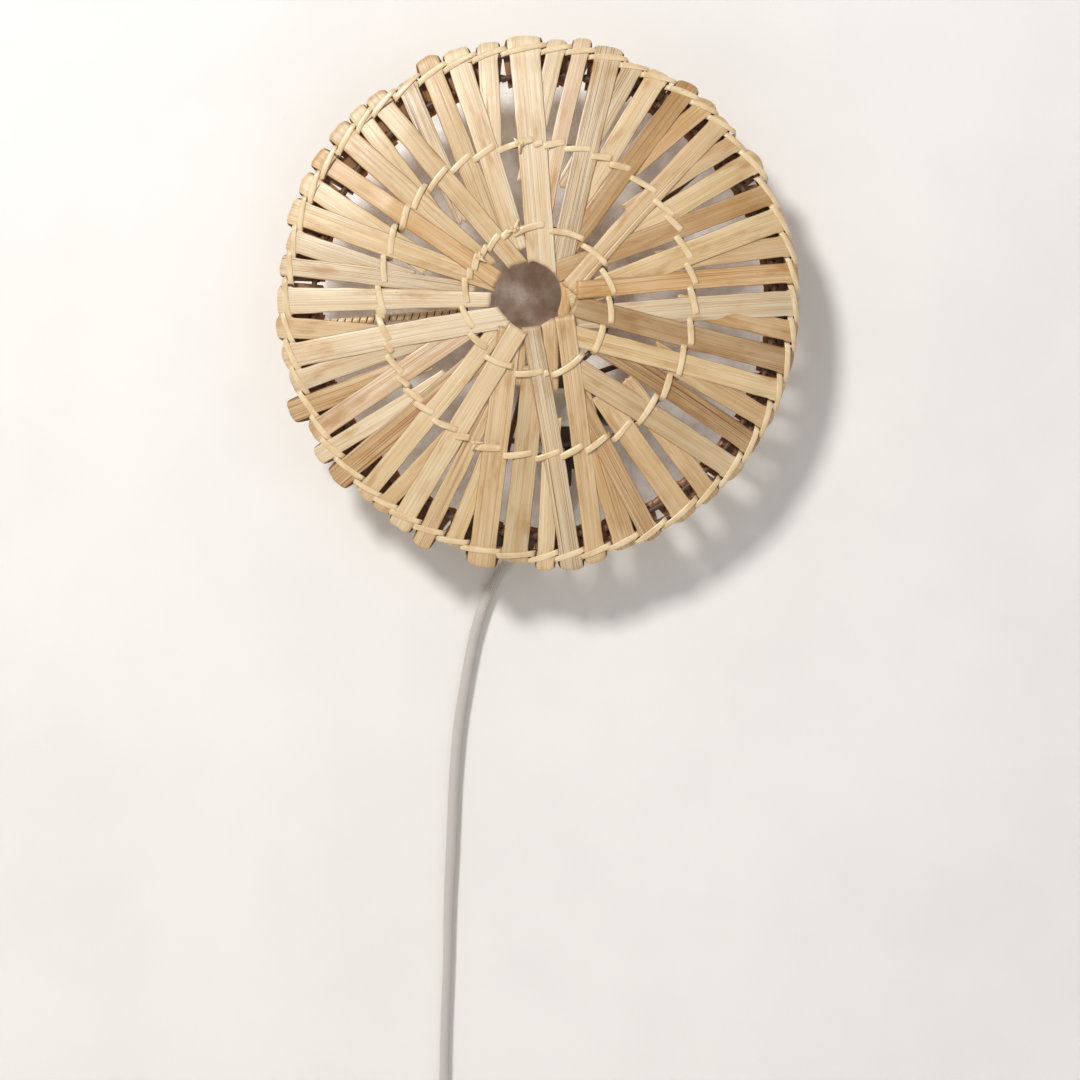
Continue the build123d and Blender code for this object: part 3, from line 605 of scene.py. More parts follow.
def crack_columns(cracks):
    """Columns across a splint, with three more at each crack, and the share that each crack has."""
    columns = set(np.round(np.linspace(-1, 1, 11), 3)) | {-0.955, 0.955}
    for share, _, _ in cracks:
        columns |= {round(share + step, 3) for step in (-0.035, 0.0, 0.035)}
    return np.array(sorted(columns))


def splint_height(strip):
    """Height along the splint over what already lies below it, and the t that each value is for."""
    t = np.arange(strip.tip - 4, strip.row.fold + 8, 1.0)
    support = np.zeros(t.size)
    for share in (-0.95, -0.5, 0, 0.5, 0.95):
        x, z = strip.point(t, share * strip.width(t) / 2)
        support = np.maximum(support, look_up(x, z))
    return t, drape(support, 5, 6.0)


def lay_on_grid(strip, t, height):
    """Raises the height map where the splint lies."""
    along, across = strip.own(GRID_X, GRID_Z)
    side = across - strip.line(along)
    inside = (along > strip.tip - 1) & (along < strip.row.fold + 2)
    inside &= np.abs(side) < strip.width(along) / 2 + 0.8
    hole = (GRID_X - HOLE_CENTRE[0]) ** 2 + (GRID_Z - HOLE_CENTRE[1]) ** 2 < HOLE_RADIUS ** 2
    level = np.interp(along, t, height) + THICKNESS + LAYER_GAP
    TOP[inside & ~hole] = level[inside & ~hole]


def tail_level(number):
    """Neighbouring tails lie one behind the other."""
    return RIM_WIRE_Y + FOLD_BACK + 0.4 + 0.9 * (number % 2)


def splint_curves(strip, shares, ends, t_axis, height):
    """The middle surface of a splint: t, side and y at every row and column."""
    t = np.zeros((ROWS, shares.size))
    y, side = np.zeros_like(t), np.zeros_like(t)
    roll, seed = strip.roll, strip.seed
    tail_y = tail_level(seed)
    splay = TAIL_SPLAY * wave(seed * 2.7, 15)
    twist = radians(2.4) * wave(seed * 3.1, 9)
    lifted = 0.5 + 0.5 * wave(seed * 1.3, 19)
    easing = np.linspace(0, 1, LEG_ROWS)
    phase = np.linspace(0, pi, FOLD_ROWS + 1)[1:]
    for column, share in enumerate(shares):
        side_rim = share * strip.width(strip.rim) / 2
        fold = strip.row.fold + 0.5 * wave(seed * 5 + share * 1.3, 11) - FOLD_ROUNDING * abs(share) ** 4
        start = strip.reach_radius(side_rim, fold) - roll
        leg = ends[column] + (start - ends[column]) * easing
        tail_end = strip.reach_radius(side_rim, TAIL_END_RADIUS) + 0.9 * wave(share * 2 + seed, 13)
        tail = np.linspace(start, tail_end, TAIL_ROWS + 1)[1:]
        t[:, column] = np.concatenate((leg, start + roll * np.sin(phase), tail))

        beyond_stitch = np.clip((leg - rim_wire_radius(strip.row.angle)) / 5, 0, 1)
        turned_back = np.clip(2 * phase / pi - 1, 0, 1)
        flare = np.concatenate((FOLD_FLARE * beyond_stitch,
                                FOLD_FLARE + (TAIL_SPREAD - FOLD_FLARE) * turned_back,
                                np.full(TAIL_ROWS, TAIL_SPREAD)))
        side[:, column] = share * strip.width(t[:, column]) / 2 * (1 + flare)
        side[-TAIL_ROWS:, column] += splay * np.arange(1, TAIL_ROWS + 1) / TAIL_ROWS

        reach = share * strip.width(leg) / 2
        free = np.sin(pi * easing) * np.clip((start - leg) / 40, 0, 1)
        ripple = np.array([0.32 * wave(value / 34 + seed, 17) for value in leg]) * free
        leg_y = base_y(np.hypot(*strip.point(leg, reach))) - np.interp(leg, t_axis, height) - THICKNESS / 2
        leg_y = leg_y + ripple + np.sin(twist) * reach * free
        folded_y = leg_y[-1] + (tail_y - leg_y[-1]) / 2 * (1 - np.cos(phase))
        tail_line = tail_y + lifted * ((start - tail) / 20) ** 2 * 0.6
        y[:, column] = np.concatenate((leg_y, folded_y, tail_line))
    return t, side, y


def stacked(*parts):
    """Grids of one number a point as a list of points."""
    return np.stack(np.broadcast_arrays(*parts), axis=-1).reshape(-1, 3)


def shell_faces(columns, rows):
    """Faces of a thin sheet kept as two grids of points, one after the other, with closed edges."""
    count = rows * columns
    faces = grid_faces(rows, columns) + grid_faces(rows, columns, count, flip=True)
    outline = list(range(columns)) + [row * columns + columns - 1 for row in range(1, rows)]
    outline += [(rows - 1) * columns + column for column in range(columns - 2, -1, -1)]
    outline += [row * columns for row in range(rows - 2, 0, -1)]
    for a, b in zip(outline, outline[1:] + outline[:1]):
        faces.append((a, a + count, b + count, b))
    return faces


def splint_piece(name, row, number, cracks, node):
    strip = Strip(row, number)
    shares = crack_columns(cracks)
    t_axis, height = splint_height(strip)
    ends = end_line(strip, shares)
    t, side, y = splint_curves(strip, shares, ends, t_axis, height)
    lay_on_grid(strip, t_axis, height)
    row_numbers = np.arange(ROWS)[:, None]

    step_t, step_y = np.gradient(t, axis=0), np.gradient(y, axis=0)
    length = np.maximum(np.hypot(step_t, step_y), 1e-6)
    normal_t, normal_y = step_y / length, -step_t / length
    run = np.cumsum(length, axis=0) + ends

    half = THICKNESS / 2 * np.sqrt(np.clip(1 - np.abs(shares) ** 14, 0.03, 1))
    crown = (0.28 + 0.20 * wave(number * 0.9, 23)) * (1 - shares ** 2)
    outer, inner = (np.tile(crown + sign * half, (ROWS, 1)) for sign in (1, -1))
    for share, start, end in cracks:
        centre = int(np.argmin(np.abs(shares - share)))
        crack_t = t[:, centre]
        open_part = np.clip((crack_t - start) / 8, 0, 1) * np.clip((end - crack_t) / 8, 0, 1)
        outer[:, centre] -= 0.5 * open_part * (run[:, centre] < end + 30)

    wobble = np.array([[0.26 * wave(value / 16 + number * 3, 29 if share < 0 else 31) for share in shares]
                       for value in t[:, shares.size // 2]])
    reach = side + wobble * np.abs(shares) ** 4 * np.sign(shares)

    # The material reads how far a point is from the edge and from the nearer end, and whether it
    # is outside (0), on the inner face (1) or on the tail's inner face, with painted shade (2).
    from_edge = (1 - np.abs(shares)) * strip.width(t) / 2
    from_tip = t - ends + np.where(row_numbers >= LEG_ROWS, 40, 0)
    from_end = np.minimum(from_tip, (ROWS - 1 - row_numbers) * 3.5)
    # How far into the tail a row is: there the inner face goes over to painted shade.
    turned_back = np.clip((row_numbers - LEG_ROWS + 4) / 8, 0, 1)
    points, sides = [], []
    for offset, inward in ((outer, 0.0), (inner, 1.0 + turned_back)):
        x, z = strip.point(t + normal_t * offset, reach)
        points.append(stacked(x, y + normal_y * offset, z))
        sides.append(stacked(from_edge, inward, from_end))
    grain = stacked(reach + number * 61.0, run, number * 1.37)
    tone = (*linear(*row.tone), STREAKS.get(number, PLAIN_STREAKS))
    mesh_object(name, in_scene(np.concatenate(points)), shell_faces(shares.size, ROWS), {
        "grain": np.tile(grain, (2, 1)), "side": np.concatenate(sides),
        "tone": np.tile(tone, (2 * t.size, 1))}, node)


def pair_node(number):
    first = number - (number + 1) % 2
    return f"splints_{first:02d}_{first + 1:02d}"


def make_splints():
    for number, filler in FILLERS:
        make_filler(pair_node(number), *filler)
    order = sorted(range(len(SPLINTS)), key=lambda index: (SPLINTS[index].layer, index))
    for index in order:
        number = index + 1
        node = pair_node(number)
        if number == 46:
            make_filler(node, *HOLE_SIDE)
        splint_piece(f"splint_{number:02d}", SPLINTS[index], number, CRACKS.get(number, ()), node)


def make_filler(node, name, low_z, low_x, high_z, high_x, layer, colour):
    """A short strip laid in to close a gap near the hole: straight sides, cut round the hole."""
    middle_x, middle_z = (sum(low_x) + sum(high_x)) / 4, (low_z + high_z) / 2
    top = float(look_up(middle_x, middle_z)) if layer else 0.0

    def sides_at(share):
        return tuple(low + (high - low) * share for low, high in zip(low_x, high_x))

    columns, rows = 7, 12
    points, grain, sides = [], [], []
    for drop, inward in ((0.0, 0.0), (-THICKNESS, 1.0)):
        for share_up in np.linspace(0, 1, rows):
            z = low_z + (high_z - low_z) * share_up
            left, right = sides_at(share_up)
            reach = HOLE_RADIUS ** 2 - (z - HOLE_CENTRE[1]) ** 2
            edge_of_hole = HOLE_CENTRE[0] + sqrt(reach) if reach > 0 and right > 8 else -99
            for column, share in enumerate(np.linspace(0, 1, columns)):
                x = left + (right - left) * share + 0.25 * wave(z / 4, 3 + column)
                x = max(x, edge_of_hole - 0.4 + 0.2 * column)
                bulge = 0.5 * (1 - (2 * share - 1) ** 2)
                points.append((x, float(base_y(np.hypot(x, z))) - top - THICKNESS - drop - bulge, z))
                grain.append((x + 900, z, 3.3))
                sides.append((min(share, 1 - share) * (right - left), inward, min(z - low_z, high_z - z)))
    faces = [face[::-1] for face in shell_faces(columns, rows)]
    tone = (*linear(*colour), PLAIN_STREAKS)
    mesh_object(name, in_scene(points), faces, {
        "grain": grain, "side": sides, "tone": np.tile(tone, (len(points), 1))}, node)
    left, right = sides_at(np.clip((GRID_Z - low_z) / (high_z - low_z), 0, 1))
    band = (GRID_X > left) & (GRID_X < right) & (GRID_Z > low_z) & (GRID_Z < high_z)
    TOP[band] = np.maximum(TOP[band], top + THICKNESS + LAYER_GAP)


# ---------------------------------------------------------------- cane lashings

# Half round: (share of the half width, share of the thickness).
SECTION = ((-1, -0.5), (-0.96, 0.1), (-0.7, 0.42), (-0.25, 0.5), (0.25, 0.5), (0.7, 0.42), (0.96, 0.1),
           (1, -0.5))
OUTWARD, WALLWARD = (0.0, -1.0, 0.0), (0.0, 1.0, 0.0)
RING_THICKNESS = 1.1                          # of the middle and the inner lashing's binder
RIM_WIDTH, RIM_THICKNESS = 4.3, 0.9
STITCH_STEPS, RIM_STEPS, KNOT_STEPS = 17, 15, 22


def closed_tube(rows, columns):
    """Faces of a tube with both of its ends closed."""
    return grid_faces(rows, columns, around=True) + [
        tuple(range(columns)), tuple(reversed(range((rows - 1) * columns, rows * columns)))]


def cane_strip(path, facing, widths, thickness, seed):
    """Points, faces and grain of a strip of cane swept along a path, its round side facing out."""
    path = np.asarray(path, float)
    facing, widths = np.broadcast_to(facing, path.shape), np.broadcast_to(widths, len(path))
    tangent = np.gradient(path, axis=0)
    tangent /= np.maximum(np.linalg.norm(tangent, axis=1, keepdims=True), 1e-9)
    facing = facing - tangent * np.sum(facing * tangent, axis=1, keepdims=True)
    facing /= np.maximum(np.linalg.norm(facing, axis=1, keepdims=True), 1e-9)
    across = np.cross(tangent, facing)
    run = run_along(path)
    points, grain = [], []
    for index, place in enumerate(path):
        for side, rise in SECTION:
            points.append(place + across[index] * side * widths[index] / 2 + facing[index] * rise * thickness)
            grain.append((side * widths[index] / 2 + seed * 17, run[index] + seed * 31, seed * 0.7))
    return points, closed_tube(len(path), len(SECTION)), grain


def run_along(path):
    """How far along a path each of its points is."""
    return np.concatenate(([0], np.cumsum(np.linalg.norm(np.diff(path, axis=0), axis=1))))


def join_strips(name, strips, node, material=None):
    points, faces, grain = [], [], []
    for strip_points, strip_faces, strip_grain in strips:
        start = len(points)
        points += strip_points
        grain += strip_grain
        faces += [tuple(start + corner for corner in face) for face in strip_faces]
    mesh_object(name, in_scene(points), faces, {"grain": grain}, node, material=material)


def smooth_path(points, times=2):
    """Rounds a path's corners by cutting them, keeping its two ends."""
    points = [np.asarray(p, float) for p in points]
    for _ in range(times):
        rounded = [points[0]]
        for a, b in zip(points, points[1:]):
            rounded += [a * 0.75 + b * 0.25, a * 0.25 + b * 0.75]
        rounded.append(points[-1])
        points = rounded
    return points


def uneven(width, fine, seed, ends, swell, power, wobble):
    """The width of a stitch along itself: narrower at its ends, and never quite the same."""
    waves = np.array([wave(value * 3, seed) for value in fine])
    return width * (ends + swell * np.sin(pi * fine) ** power + wobble * waves)


def stitch(high, low, radius_high, radius_low, hoop, width, seed):
    """One stitch: up through a gap, slanting over the splints, and down through the next gap."""
    centre, _, wire_y = hoop
    steps = np.linspace(0, 1, STITCH_STEPS)
    angles = np.linspace(high, low, STITCH_STEPS)
    radii = np.linspace(radius_high, radius_low, STITCH_STEPS)
    x = centre[0] + radii * np.cos(np.radians(angles))
    z = centre[1] + radii * np.sin(np.radians(angles))
    arc = abs(radians(high - low)) * (radius_high + radius_low) / 2
    fine = np.linspace(0, 1, max(int(arc), 4))
    fine_x, fine_z = np.interp(fine, steps, x), np.interp(fine, steps, z)
    support = look_up(fine_x, fine_z)
    for nudge in (-1.6, 1.6):
        spread = (radii.mean() + nudge) / radii.mean()
        support = np.maximum(support, look_up(centre[0] + (fine_x - centre[0]) * spread,
                                              centre[1] + (fine_z - centre[1]) * spread))
    sixth = len(support) // 6
    inner = support[sixth: -max(sixth, 1)]
    level = max(inner.max() if inner.size else support.max(), 0.3)
    lift = np.maximum(drape(np.minimum(support, level), 3, 2.2), level - 0.9)
    front = base_y(np.hypot(x, z)) - np.interp(steps, fine, lift) - RING_THICKNESS * 0.62
    over = np.stack((x, front, z), axis=1)

    back_y = wire_y + WIRE + RING_THICKNESS
    start = [polar(radius_high, high + 1.2, y, centre) for y in (back_y, (back_y + front[0]) / 2)]
    end = [polar(radius_low, low - 1.2, y, centre) for y in ((back_y + front[-1]) / 2, back_y)]
    path = np.array(smooth_path([*start, *over[1:-1], *end], 1))
    facing = np.tile(OUTWARD, (len(path), 1))
    along = (over[-1] - over[0]) / np.linalg.norm(over[-1] - over[0])
    turning = 5
    for index in range(turning):
        share = 1 - index / turning
        facing[index] = facing[index] * (1 - share) - along * share
        facing[-1 - index] = facing[-1 - index] * (1 - share) + along * share
    widths = uneven(width, np.linspace(0, 1, len(path)), seed, 0.80, 0.20, 0.5, 0.04)
    return cane_strip(path, facing, widths, RING_THICKNESS, seed)


def tie_behind(angle, radius_from, radius_to, hoop, width, seed):
    """Where the binder passes behind the hoop, from one stitch's end to the next one's start."""
    centre, _, wire_y = hoop
    back_y = wire_y + WIRE + RING_THICKNESS * 0.7
    points = [polar(radius_from + (radius_to - radius_from) * share, angle,
                    back_y + 0.8 * sin(pi * share), centre) for share in np.linspace(0, 1, 6)]
    return cane_strip(points, WALLWARD, width * 0.85, RING_THICKNESS, seed)


def bridge_behind(start, end, hoop, width, seed):
    """The binder runs along behind the hoop where no stitch shows in front."""
    centre, radius, wire_y = hoop
    sweep = (end - start + 180) % 360 - 180
    back_y = wire_y + WIRE + RING_THICKNESS * 0.7
    points = [polar(radius, start + sweep * share, back_y, centre) for share in np.linspace(0, 1, 8)]
    return cane_strip(points, WALLWARD, width * 0.85, RING_THICKNESS, seed)


# The stitches of the middle and the inner lashing: the angles at which each comes up and goes down.
MIDDLE_SPANS = (
    (53, 41.5), (40.8, 31), (33.5, 25.4), (24.8, 14.5), (14, 5.5), (4.8, -5.5), (-7, -16.5), (-17, -28.5),
    (-29, -38), (-38.5, -50.7), (-52, -61.3), (-62.5, -72.5), (-72.5, -82), (-81, -91), (-91.5, -102.8),
    (-103.2, -114), (-116, -121), (-121, -131.5), (-132, -140), (-138, -146), (-146, -151), (-151, -160),
    (-160, -164), (-164, -174), (-173, -177), (-174, -185.5), (-186, -196.5), (-196.5, -207),
    (-208, -216), (-216, -225), (-225, -236), (-235.5, -245.5), (-245.5, -255), (-255, -269),
    (-269, -272), (-272, -280.4), (-280, -290.2), (-290.5, -298), (-298, -306),
)
INNER_SPANS = (
    (52, 27), (27, 4), (4, -18), (-20, -43), (-50, -80), (-82, -85), (-85, -108), (-110, -134),
    (-136, -155), (-156, -177), (-177, -198), (-197, -205), (-205, -218), (-218, -227), (-225, -240),
    (-240, -248), (-248, -276), (-278, -308),
)


def hoop_of(node):
    """A hoop's centre in the shade's plane, the radius of its wire's axis and that axis's y."""
    low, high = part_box(node)
    centre = ((low.x + high.x) / 2 - SHADE.x) / MM, ((low.z + high.z) / 2 - SHADE.z) / MM
    return centre, (high.x - low.x) / MM / 2 - WIRE, (low.y + high.y) / 2 / MM


def ring_lashing(node, hoop_node, spans, slant, width):
    """A running binder round a hoop: its stitches in front and its turns behind."""
    hoop = hoop_of(hoop_node)
    radius = hoop[1]
    strips = []
    for index, (start, end) in enumerate(spans):
        lean = slant * min(1.0, abs(start - end) * radius * pi / 180 / 14)
        outer = radius + lean + 0.5 * wave(index * 1.1, 41)
        strips.append(stitch(start, end, outer - 2 * lean, outer, hoop,
                             width * (1 + 0.07 * wave(index * 2.3, 43)), index + 3))
        following = spans[(index + 1) % len(spans)][0]
        strips.append(tie_behind(end, outer, radius - lean, hoop, width, index + 70))
        if abs((end - following + 180) % 360 - 180) > 3.5:
            strips.append(bridge_behind(end, following, hoop, width, index + 140))
    join_strips(f"{node}_cane", strips, node)


def rim_stitch(index):
    """Over one splint at the rim: out of the gap inside the hoop, across, and round the outside."""
    row = SPLINTS[index]
    before, after = SPLINTS[(index + 1) % len(SPLINTS)], SPLINTS[index - 1]
    seed = index + 200

    def half_angle(splint):
        return degrees(splint.rim_width / 2 / STITCH_RADIUS)

    half = half_angle(row)
    gap_high = ((before.angle - row.angle) % 360 - half - half_angle(before)) / 2
    gap_low = ((row.angle - after.angle) % 360 - half - half_angle(after)) / 2
    high = row.angle + half + max(gap_high, 0.25)
    low = row.angle - half - max(gap_low, 0.25)
    wire_radius = rim_wire_radius(row.angle)
    radius_high = wire_radius + 0.6 + 0.7 * wave(seed * 1.9, 47)
    radius_low = min(wire_radius + 5.2 + 0.8 * wave(seed * 2.9, 49), row.fold - 0.6)
    roll = roll_of(row)
    roll_start = row.fold - roll
    front_y = float(base_y(roll_start)) - THICKNESS
    half_depth = (RIM_WIRE_Y + FOLD_BACK - front_y) / 2

    points, facing = [], []
    for drop, y, turn in ((1.0, 3.4, 1.1), (0.8, -0.6, 0.9)):
        points.append(polar(radius_high - drop, high + turn, RIM_WIRE_Y + y))
        facing.append(polar(1, high + turn + 90, -0.3))
    for share in np.arange(RIM_STEPS) / (RIM_STEPS - 1):
        angle = high + (low - high) * share
        radius = radius_high + (radius_low - radius_high) * share ** 0.85
        over_edge = min(max((radius - roll_start) / roll, 0.0), 1.0)
        skin_y = front_y + half_depth * (1 - sqrt(1 - min(over_edge, 0.995) ** 2))
        points.append(polar(radius, angle, skin_y - RIM_THICKNESS * 0.55))
        facing.append(polar(0.75 * over_edge ** 1.5, angle, -1.0))
    for rise, y, turn in ((0.9, -0.8, 0.9), (-0.2, 4.2, 1.4)):
        points.append(polar(radius_low + rise, low - turn, RIM_WIRE_Y + y))
        facing.append(np.add(polar(0.7, low - turn, -0.1), polar(0.7, low - turn - 90, -0.1)))
    path = np.array(smooth_path(points, 1))
    fine = np.linspace(0, 1, len(path))
    coarse = np.linspace(0, 1, len(facing))
    facing = np.stack([np.interp(fine, coarse, part) for part in np.array(facing).T], axis=1)
    widths = uneven(RIM_WIDTH, fine, seed, 0.78, 0.24, 0.6, 0.05)
    return [cane_strip(path, facing, widths, RIM_THICKNESS, seed),
            rim_back(high, low, radius_high, radius_low, seed)]


def rim_back(high, low, radius_high, radius_low, seed):
    """The binder behind the tails, from the outside of the rim back in to the next gap."""
    back_y = RIM_WIRE_Y + FOLD_BACK + 2.3
    points = []
    for share in np.linspace(0, 1, 8):
        radius = radius_low - 0.2 + (radius_high - radius_low - 1.0) * share
        angle = low - 1.4 + (high - low) * 0.15 * share
        points.append(polar(radius, angle, back_y + 0.4 * sin(pi * share)))
    return cane_strip(points, WALLWARD, RIM_WIDTH * 0.8, RIM_THICKNESS * 0.8, seed + 60)


def tail_lashing():
    """Behind the shade, a running binder holds every tail to its own hoop."""
    _, radius, _ = hoop_of("tail_hoop")
    strips = []
    for index, row in enumerate(SPLINTS):
        half = degrees(row.rim_width / 2 / radius) + 0.4
        seed = index + 330
        back_y = tail_level(index + 1) + 1.3
        over = [polar(radius - 2.2 + 4.4 * share, row.angle + half - 2 * half * share,
                      back_y - 2.6 * abs(2 * share - 1) ** 6) for share in np.linspace(0, 1, 11)]
        strips.append(cane_strip(over, WALLWARD, 3.6, 0.8, seed))
        angle = row.angle - half
        turns = np.linspace(0, pi, 7)
        inner = [polar(radius + 2.4 * cos(turn), angle, RIM_WIRE_Y - 2.6 * sin(turn) + 1.0) for turn in turns]
        outward = [polar(cos(turn), angle, -sin(turn)) for turn in turns]
        strips.append(cane_strip(inner, outward, 3.4, 0.6, seed + 60))
    join_strips("tail_lashing_cane", strips, "tail_lashing", DARK_BINDER)


def knot(centre, size, seed):
    """A small overhand knot of cane with two cut ends."""
    path, facing = [], []
    for turn in 2 * pi * np.arange(KNOT_STEPS) / (KNOT_STEPS - 1) * 1.35 + seed:
        bulge = size * (0.75 + 0.2 * cos(2 * turn))
        path.append((centre[0] + bulge * cos(turn), centre[1] - 0.45 * size * sin(3 * turn) - 0.4 * size,
                     centre[2] + bulge * 0.8 * sin(turn)))
        facing.append((0.5 * cos(turn), -1.0, 0.5 * sin(turn)))
    strips = [cane_strip(path, facing, size * 0.95, 1.1, seed * 3)]
    for side, angle in ((1, seed * 2.0), (-1, seed * 2.0 + 2.3)):
        tail = []
        for share in np.linspace(0, 1, 7):
            reach = size * (0.2 + 2.1 * share)
            sag = 0.5 * size + 0.8 * sin(pi * share) - 0.4 * share
            tail.append((centre[0] + reach * cos(angle), centre[1] - sag,
                         centre[2] + reach * sin(angle) + side * 0.6 * share ** 2))
        widths = np.linspace(size * 0.9, size * 0.55, 7)
        strips.append(cane_strip(tail, OUTWARD, widths, 0.9, seed * 5 + side))
    return strips


# Each knot: x, z, size and seed.
KNOTS = ((-17.5, 114.5, 2.4, 1.2), (-21.0, 53.5, 3.0, 0.6), (-49.0, -99.5, 2.4, 2.1), (-46.0, 33.0, 2.2, 2.8))


def make_lashings():
    ring_lashing("middle_lashing", "middle_hoop", MIDDLE_SPANS, 2.6, 4.8)
    ring_lashing("inner_lashing", "inner_hoop", INNER_SPANS, 2.4, 4.7)
    rim = [strip for index in range(len(SPLINTS)) for strip in rim_stitch(index)]
    join_strips("rim_lashing_cane", rim, "rim_lashing")
    tail_lashing()
    knots = []
    for x, z, size, seed in KNOTS:
        front = float(base_y(np.hypot(x, z)) - look_up(x, z))
        knots += knot((x, front - 0.6, z), size, seed)
    join_strips("binder_knots", knots, "middle_lashing")


# ---------------------------------------------------------------- the wrapped spoke

SPOKE_ANGLE = 184.6
WRAP_START, WRAP_END = 56.0, 163.6            # radii between which the spoke is wound
WRAP_PITCH, WRAP_BAND, WRAP_CORE = 5.4, 4.7, 2.5
WRAP_STEPS = 16                               # points in each turn


def make_wrapped_spoke():
    """Cane wound closely round one spoke, each turn a rounded band beside the last."""
    low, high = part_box("spoke_wrapping")
    start = np.array(polar(WRAP_START, SPOKE_ANGLE, low.y / MM + 2.0))
    end = np.array(polar(WRAP_END, SPOKE_ANGLE, high.y / MM - 2.0))
    side = np.array(polar(1, SPOKE_ANGLE + 90))
    turns = (WRAP_END - WRAP_START) / WRAP_PITCH
    shares = np.linspace(0, 1, int(turns * WRAP_STEPS) + 1)[:, None]
    outward = side * np.cos(2 * pi * turns * shares) + np.array(WALLWARD) * np.sin(2 * pi * turns * shares)
    path = start + (end - start) * shares + outward * WRAP_CORE
    band = cane_strip(path, outward, WRAP_BAND * 0.94, 0.9, 9)
    join_strips("spoke_wrapping_cane", [band], "spoke_wrapping")


# ---------------------------------------------------------------- the textile flex

FLEX = 0.007
UPPER_ROUTE = (
    (0.012, -0.009, -0.044), (0.012, -0.0088, -0.060), (0.0075, -0.0066, -0.078),
    (-0.006, -0.0049, -0.0905), (-0.0255, -0.0048, -0.1015), (-0.043, -0.0048, -0.1165),
    (-0.0548, -0.0048, -0.139), (-0.0636, -0.0048, -0.166), (-0.069, -0.0048, -0.196),
    (-0.075, -0.0046, -0.231), (-0.0785, -0.0046, -0.273), (-0.0802, -0.0046, -0.319),
    (-0.0826, -0.0046, -0.366), (-0.0832, -0.0046, -0.414), (-0.0856, -0.0046, -0.463),
    (-0.086, -0.0046, -0.510),
)
LOWER_ROUTE = ((-0.086, -0.0046, -0.572), (-0.0866, -0.0046, -0.5965), (-0.086, -0.0046, -0.621))
TAIL_ROUTE = ((-0.086, -0.0122, -0.662), (-0.0854, -0.0111, -0.685), (-0.083, -0.0086, -0.708))

COIL_TURNS = 5
COIL_POINTS = 24                              # in each turn
BACK_Y, FRONT_Y = -0.0046, -0.0122
OUTER, MIDDLE, INNER = 0.048, 0.041, 0.034


def eased(value, low, high):
    share = min(max((value - low) / (high - low), 0.0), 1.0)
    return share * share * (3 - 2 * share)


def coil_points():
    """Three turns against the wall from the outside in, and the rest on them from the inside out."""
    centre = middle("flex_coil")
    points = []
    for step in range(1, COIL_TURNS * COIL_POINTS):
        swept = 360.0 * step / COIL_POINTS
        radius = OUTER - (OUTER - MIDDLE) * eased(swept, 300, 350) - (MIDDLE - INNER) * eased(swept, 660, 710)
        radius += (MIDDLE - INNER) * eased(swept, 1260, 1310) + (OUTER - MIDDLE) * eased(swept, 1560, 1610)
        y = BACK_Y + (FRONT_Y - BACK_Y) * eased(swept, 950, 1020)
        angle = radians(180.0 + swept)
        points.append((centre.x + radius * cos(angle), y, centre.z + radius * sin(angle)))
    return points


def route_line(points):
    """The smooth line of a route: a NURBS curve's own points."""
    curve = bpy.data.curves.new("route", "CURVE")
    curve.dimensions = "3D"
    curve.resolution_u = 8
    spline = curve.splines.new("NURBS")
    spline.points.add(len(points) - 1)
    for control, place in zip(spline.points, points):
        control.co = (*place, 1)
    spline.order_u = 3
    spline.use_endpoint_u = True
    holder = put_in_scene("route", curve)
    bpy.context.view_layer.update()
    line = bpy.data.meshes.new_from_object(holder)
    places = [tuple(vertex.co) for vertex in line.vertices]
    bpy.data.objects.remove(holder)
    bpy.data.meshes.remove(line)
    return np.array(places)


FULL_FROM, FULL_TO = (0.05, 0.12), (0.30, 0.40)   # where the sleeve swells, and where it thins again
TUBE_STEP, TUBE_SIDES = 0.0016, 20


def textile_tube(name, line, seed, fullness, *nodes):
    """A soft round sleeve along a line: a little uneven, fuller in its upper part, closed ends."""
    run = run_along(line)
    length = float(run[-1])
    count = max(int(length / TUBE_STEP), 8)
    even = np.linspace(0, length, count)
    places = np.stack([np.interp(even, run, part) for part in line.T], axis=1)
    tangent = np.gradient(places, axis=0)
    tangent /= np.linalg.norm(tangent, axis=1, keepdims=True)
    points, weave = [], []
    for index, reached in enumerate(even):
        full = 1 + fullness * (1 - eased(reached, *FULL_TO)) * eased(reached, *FULL_FROM)
        side = np.cross(tangent[index], OUTWARD)
        side /= np.linalg.norm(side)
        out = np.cross(side, tangent[index])
        for step in range(TUBE_SIDES):
            turn = 2 * pi * step / TUBE_SIDES
            soft = full + 0.022 * wave(reached * 90 + cos(turn) * 0.7, seed) - 0.015
            points.append(places[index] + (side * cos(turn) + out * sin(turn)) * FLEX / 2 * soft)
            weave.append((step / TUBE_SIDES, reached / MM, seed))
    piece = mesh_object(name, points, closed_tube(count, TUBE_SIDES), {"grain": weave}, *nodes)
    return piece, places, length


def make_flex():
    upper, places, length = textile_tube("flex_above_switch", route_line(UPPER_ROUTE), 1, 0.17, "flex")
    route = [*LOWER_ROUTE, *coil_points(), *TAIL_ROUTE]
    lower, places, length = textile_tube("flex_below_switch", route_line(route), 2, 0.0, "flex", "flex_coil")


# ---------------------------------------------------------------- CAD pieces and the stage

def finish_cad_nodes():
    """Every CAD node that still shows takes its slot's material."""
    for name, node in frame["nodes"].items():
        if node.hide_render:
            continue
        node.data.materials.clear()
        node.data.materials.append(MATERIALS[SLOT_OF[name]])


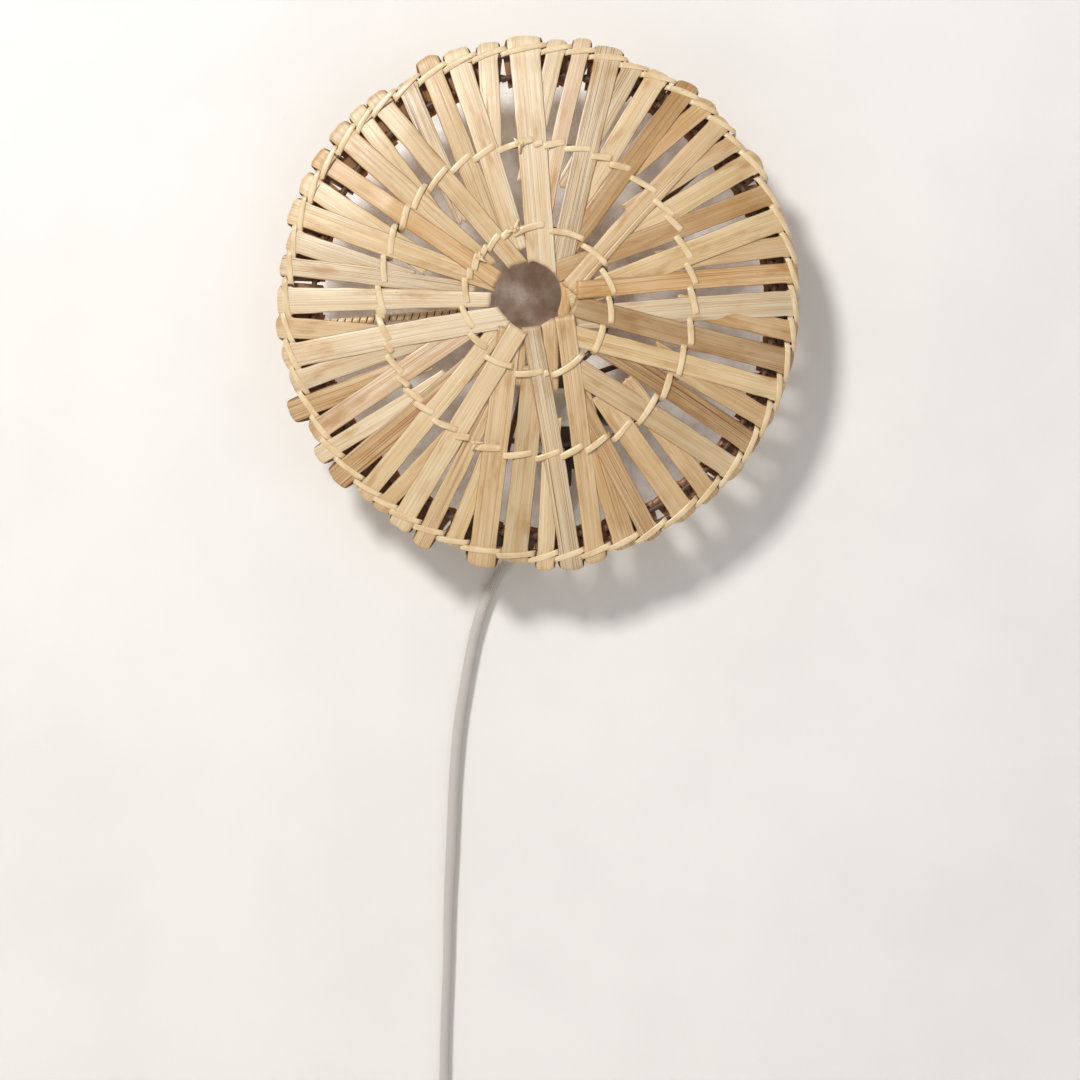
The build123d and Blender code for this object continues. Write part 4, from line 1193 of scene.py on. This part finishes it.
WALL_PAINT, FLOOR_PAINT = (243, 240, 236), (240, 238, 234)
PAINTED_SHADE_DARK, PAINTED_SHADE_PALE = linear(200, 178, 165), linear(233, 225, 221)      # painted shade on the plaster seen in the hole
LIT_DARK, LIT_PALE = linear(236, 230, 228), linear(255, 255, 255)        # and painted light on it in the gaps further out
ROOM = 4.0                                                               # half width of the stage


def plaster(name, colour):
    material = new_material(name)
    n = Nodes(material)
    place = n.place()
    broad, fine = n.noise(place, 5.0, 3.0, 0.6), n.noise(place, 160.0, 3.0, 0.6)
    plain = n.mix(n.ramp(broad, 0.35, 0.7), linear(*colour), linear(*(part * 0.98 for part in colour)))
    n.paint(plain)
    n.set("Roughness", 0.9)
    n.bump(fine, 0.25, 0.0004)
    return material, n, place, plain


def wall_material():
    """Behind the shade the plaster carries blotchy painted shade, with painted light in the gaps further out.
    From behind, the wall is clear.
    """
    material, n, place, plain = plaster("wall_paint", WALL_PAINT)
    away = n.add("ShaderNodeVectorMath", {0: place, 1: (SHADE.x, 0.0, SHADE.z)}, operation="DISTANCE")
    away = away.outputs["Value"]
    blotch = n.ramp(n.noise(n.stretched(place, (1, 1, 1), (2, 5, 1)), 75.0, 4.0, 0.65), 0.35, 0.68)
    # Painted shade in the hole and painted light further out, both ending at the shade's rim.
    painted_shade_and_light = n.mix(blotch, PAINTED_SHADE_DARK, PAINTED_SHADE_PALE)
    painted_shade_and_light = n.mix(n.ramp(away, 0.030, 0.110), painted_shade_and_light, n.mix(blotch, LIT_DARK, LIT_PALE))
    n.paint(n.mix(n.ramp(away, 0.166, 0.190), painted_shade_and_light, plain))
    backfacing = n.add("ShaderNodeNewGeometry").outputs["Backfacing"]
    clear = n.add("ShaderNodeBsdfTransparent").outputs["BSDF"]
    choice = n.add("ShaderNodeMixShader", {"Fac": backfacing})
    n.join(n.shader.outputs["BSDF"], choice.inputs[1])
    n.join(clear, choice.inputs[2])
    n.join(choice.outputs["Shader"], n.output.inputs["Surface"])
    return material


def flat_stage(name, corners, material):
    mesh = bpy.data.meshes.new(name)
    mesh.from_pydata(corners, [], [(0, 1, 2, 3)])
    mesh.materials.append(material)
    piece = put_in_scene(name, mesh)
    return piece


def make_stage():
    floor_z = CAD_BOX[0].z - 0.35
    wall = flat_stage("wall", [(-ROOM, 0.0004, floor_z), (ROOM, 0.0004, floor_z), (ROOM, 0.0004, 3),
                               (-ROOM, 0.0004, 3)], wall_material())
    wall.visible_shadow = False
    flat_stage("floor", [(-ROOM, -ROOM, floor_z), (ROOM, -ROOM, floor_z), (ROOM, ROOM, floor_z),
                         (-ROOM, ROOM, floor_z)], plaster("floor_paint", FLOOR_PAINT)[0])


make_camera()
make_flex()
make_lights()
make_splints()
make_lashings()
make_wrapped_spoke()
finish_cad_nodes()
make_stage()
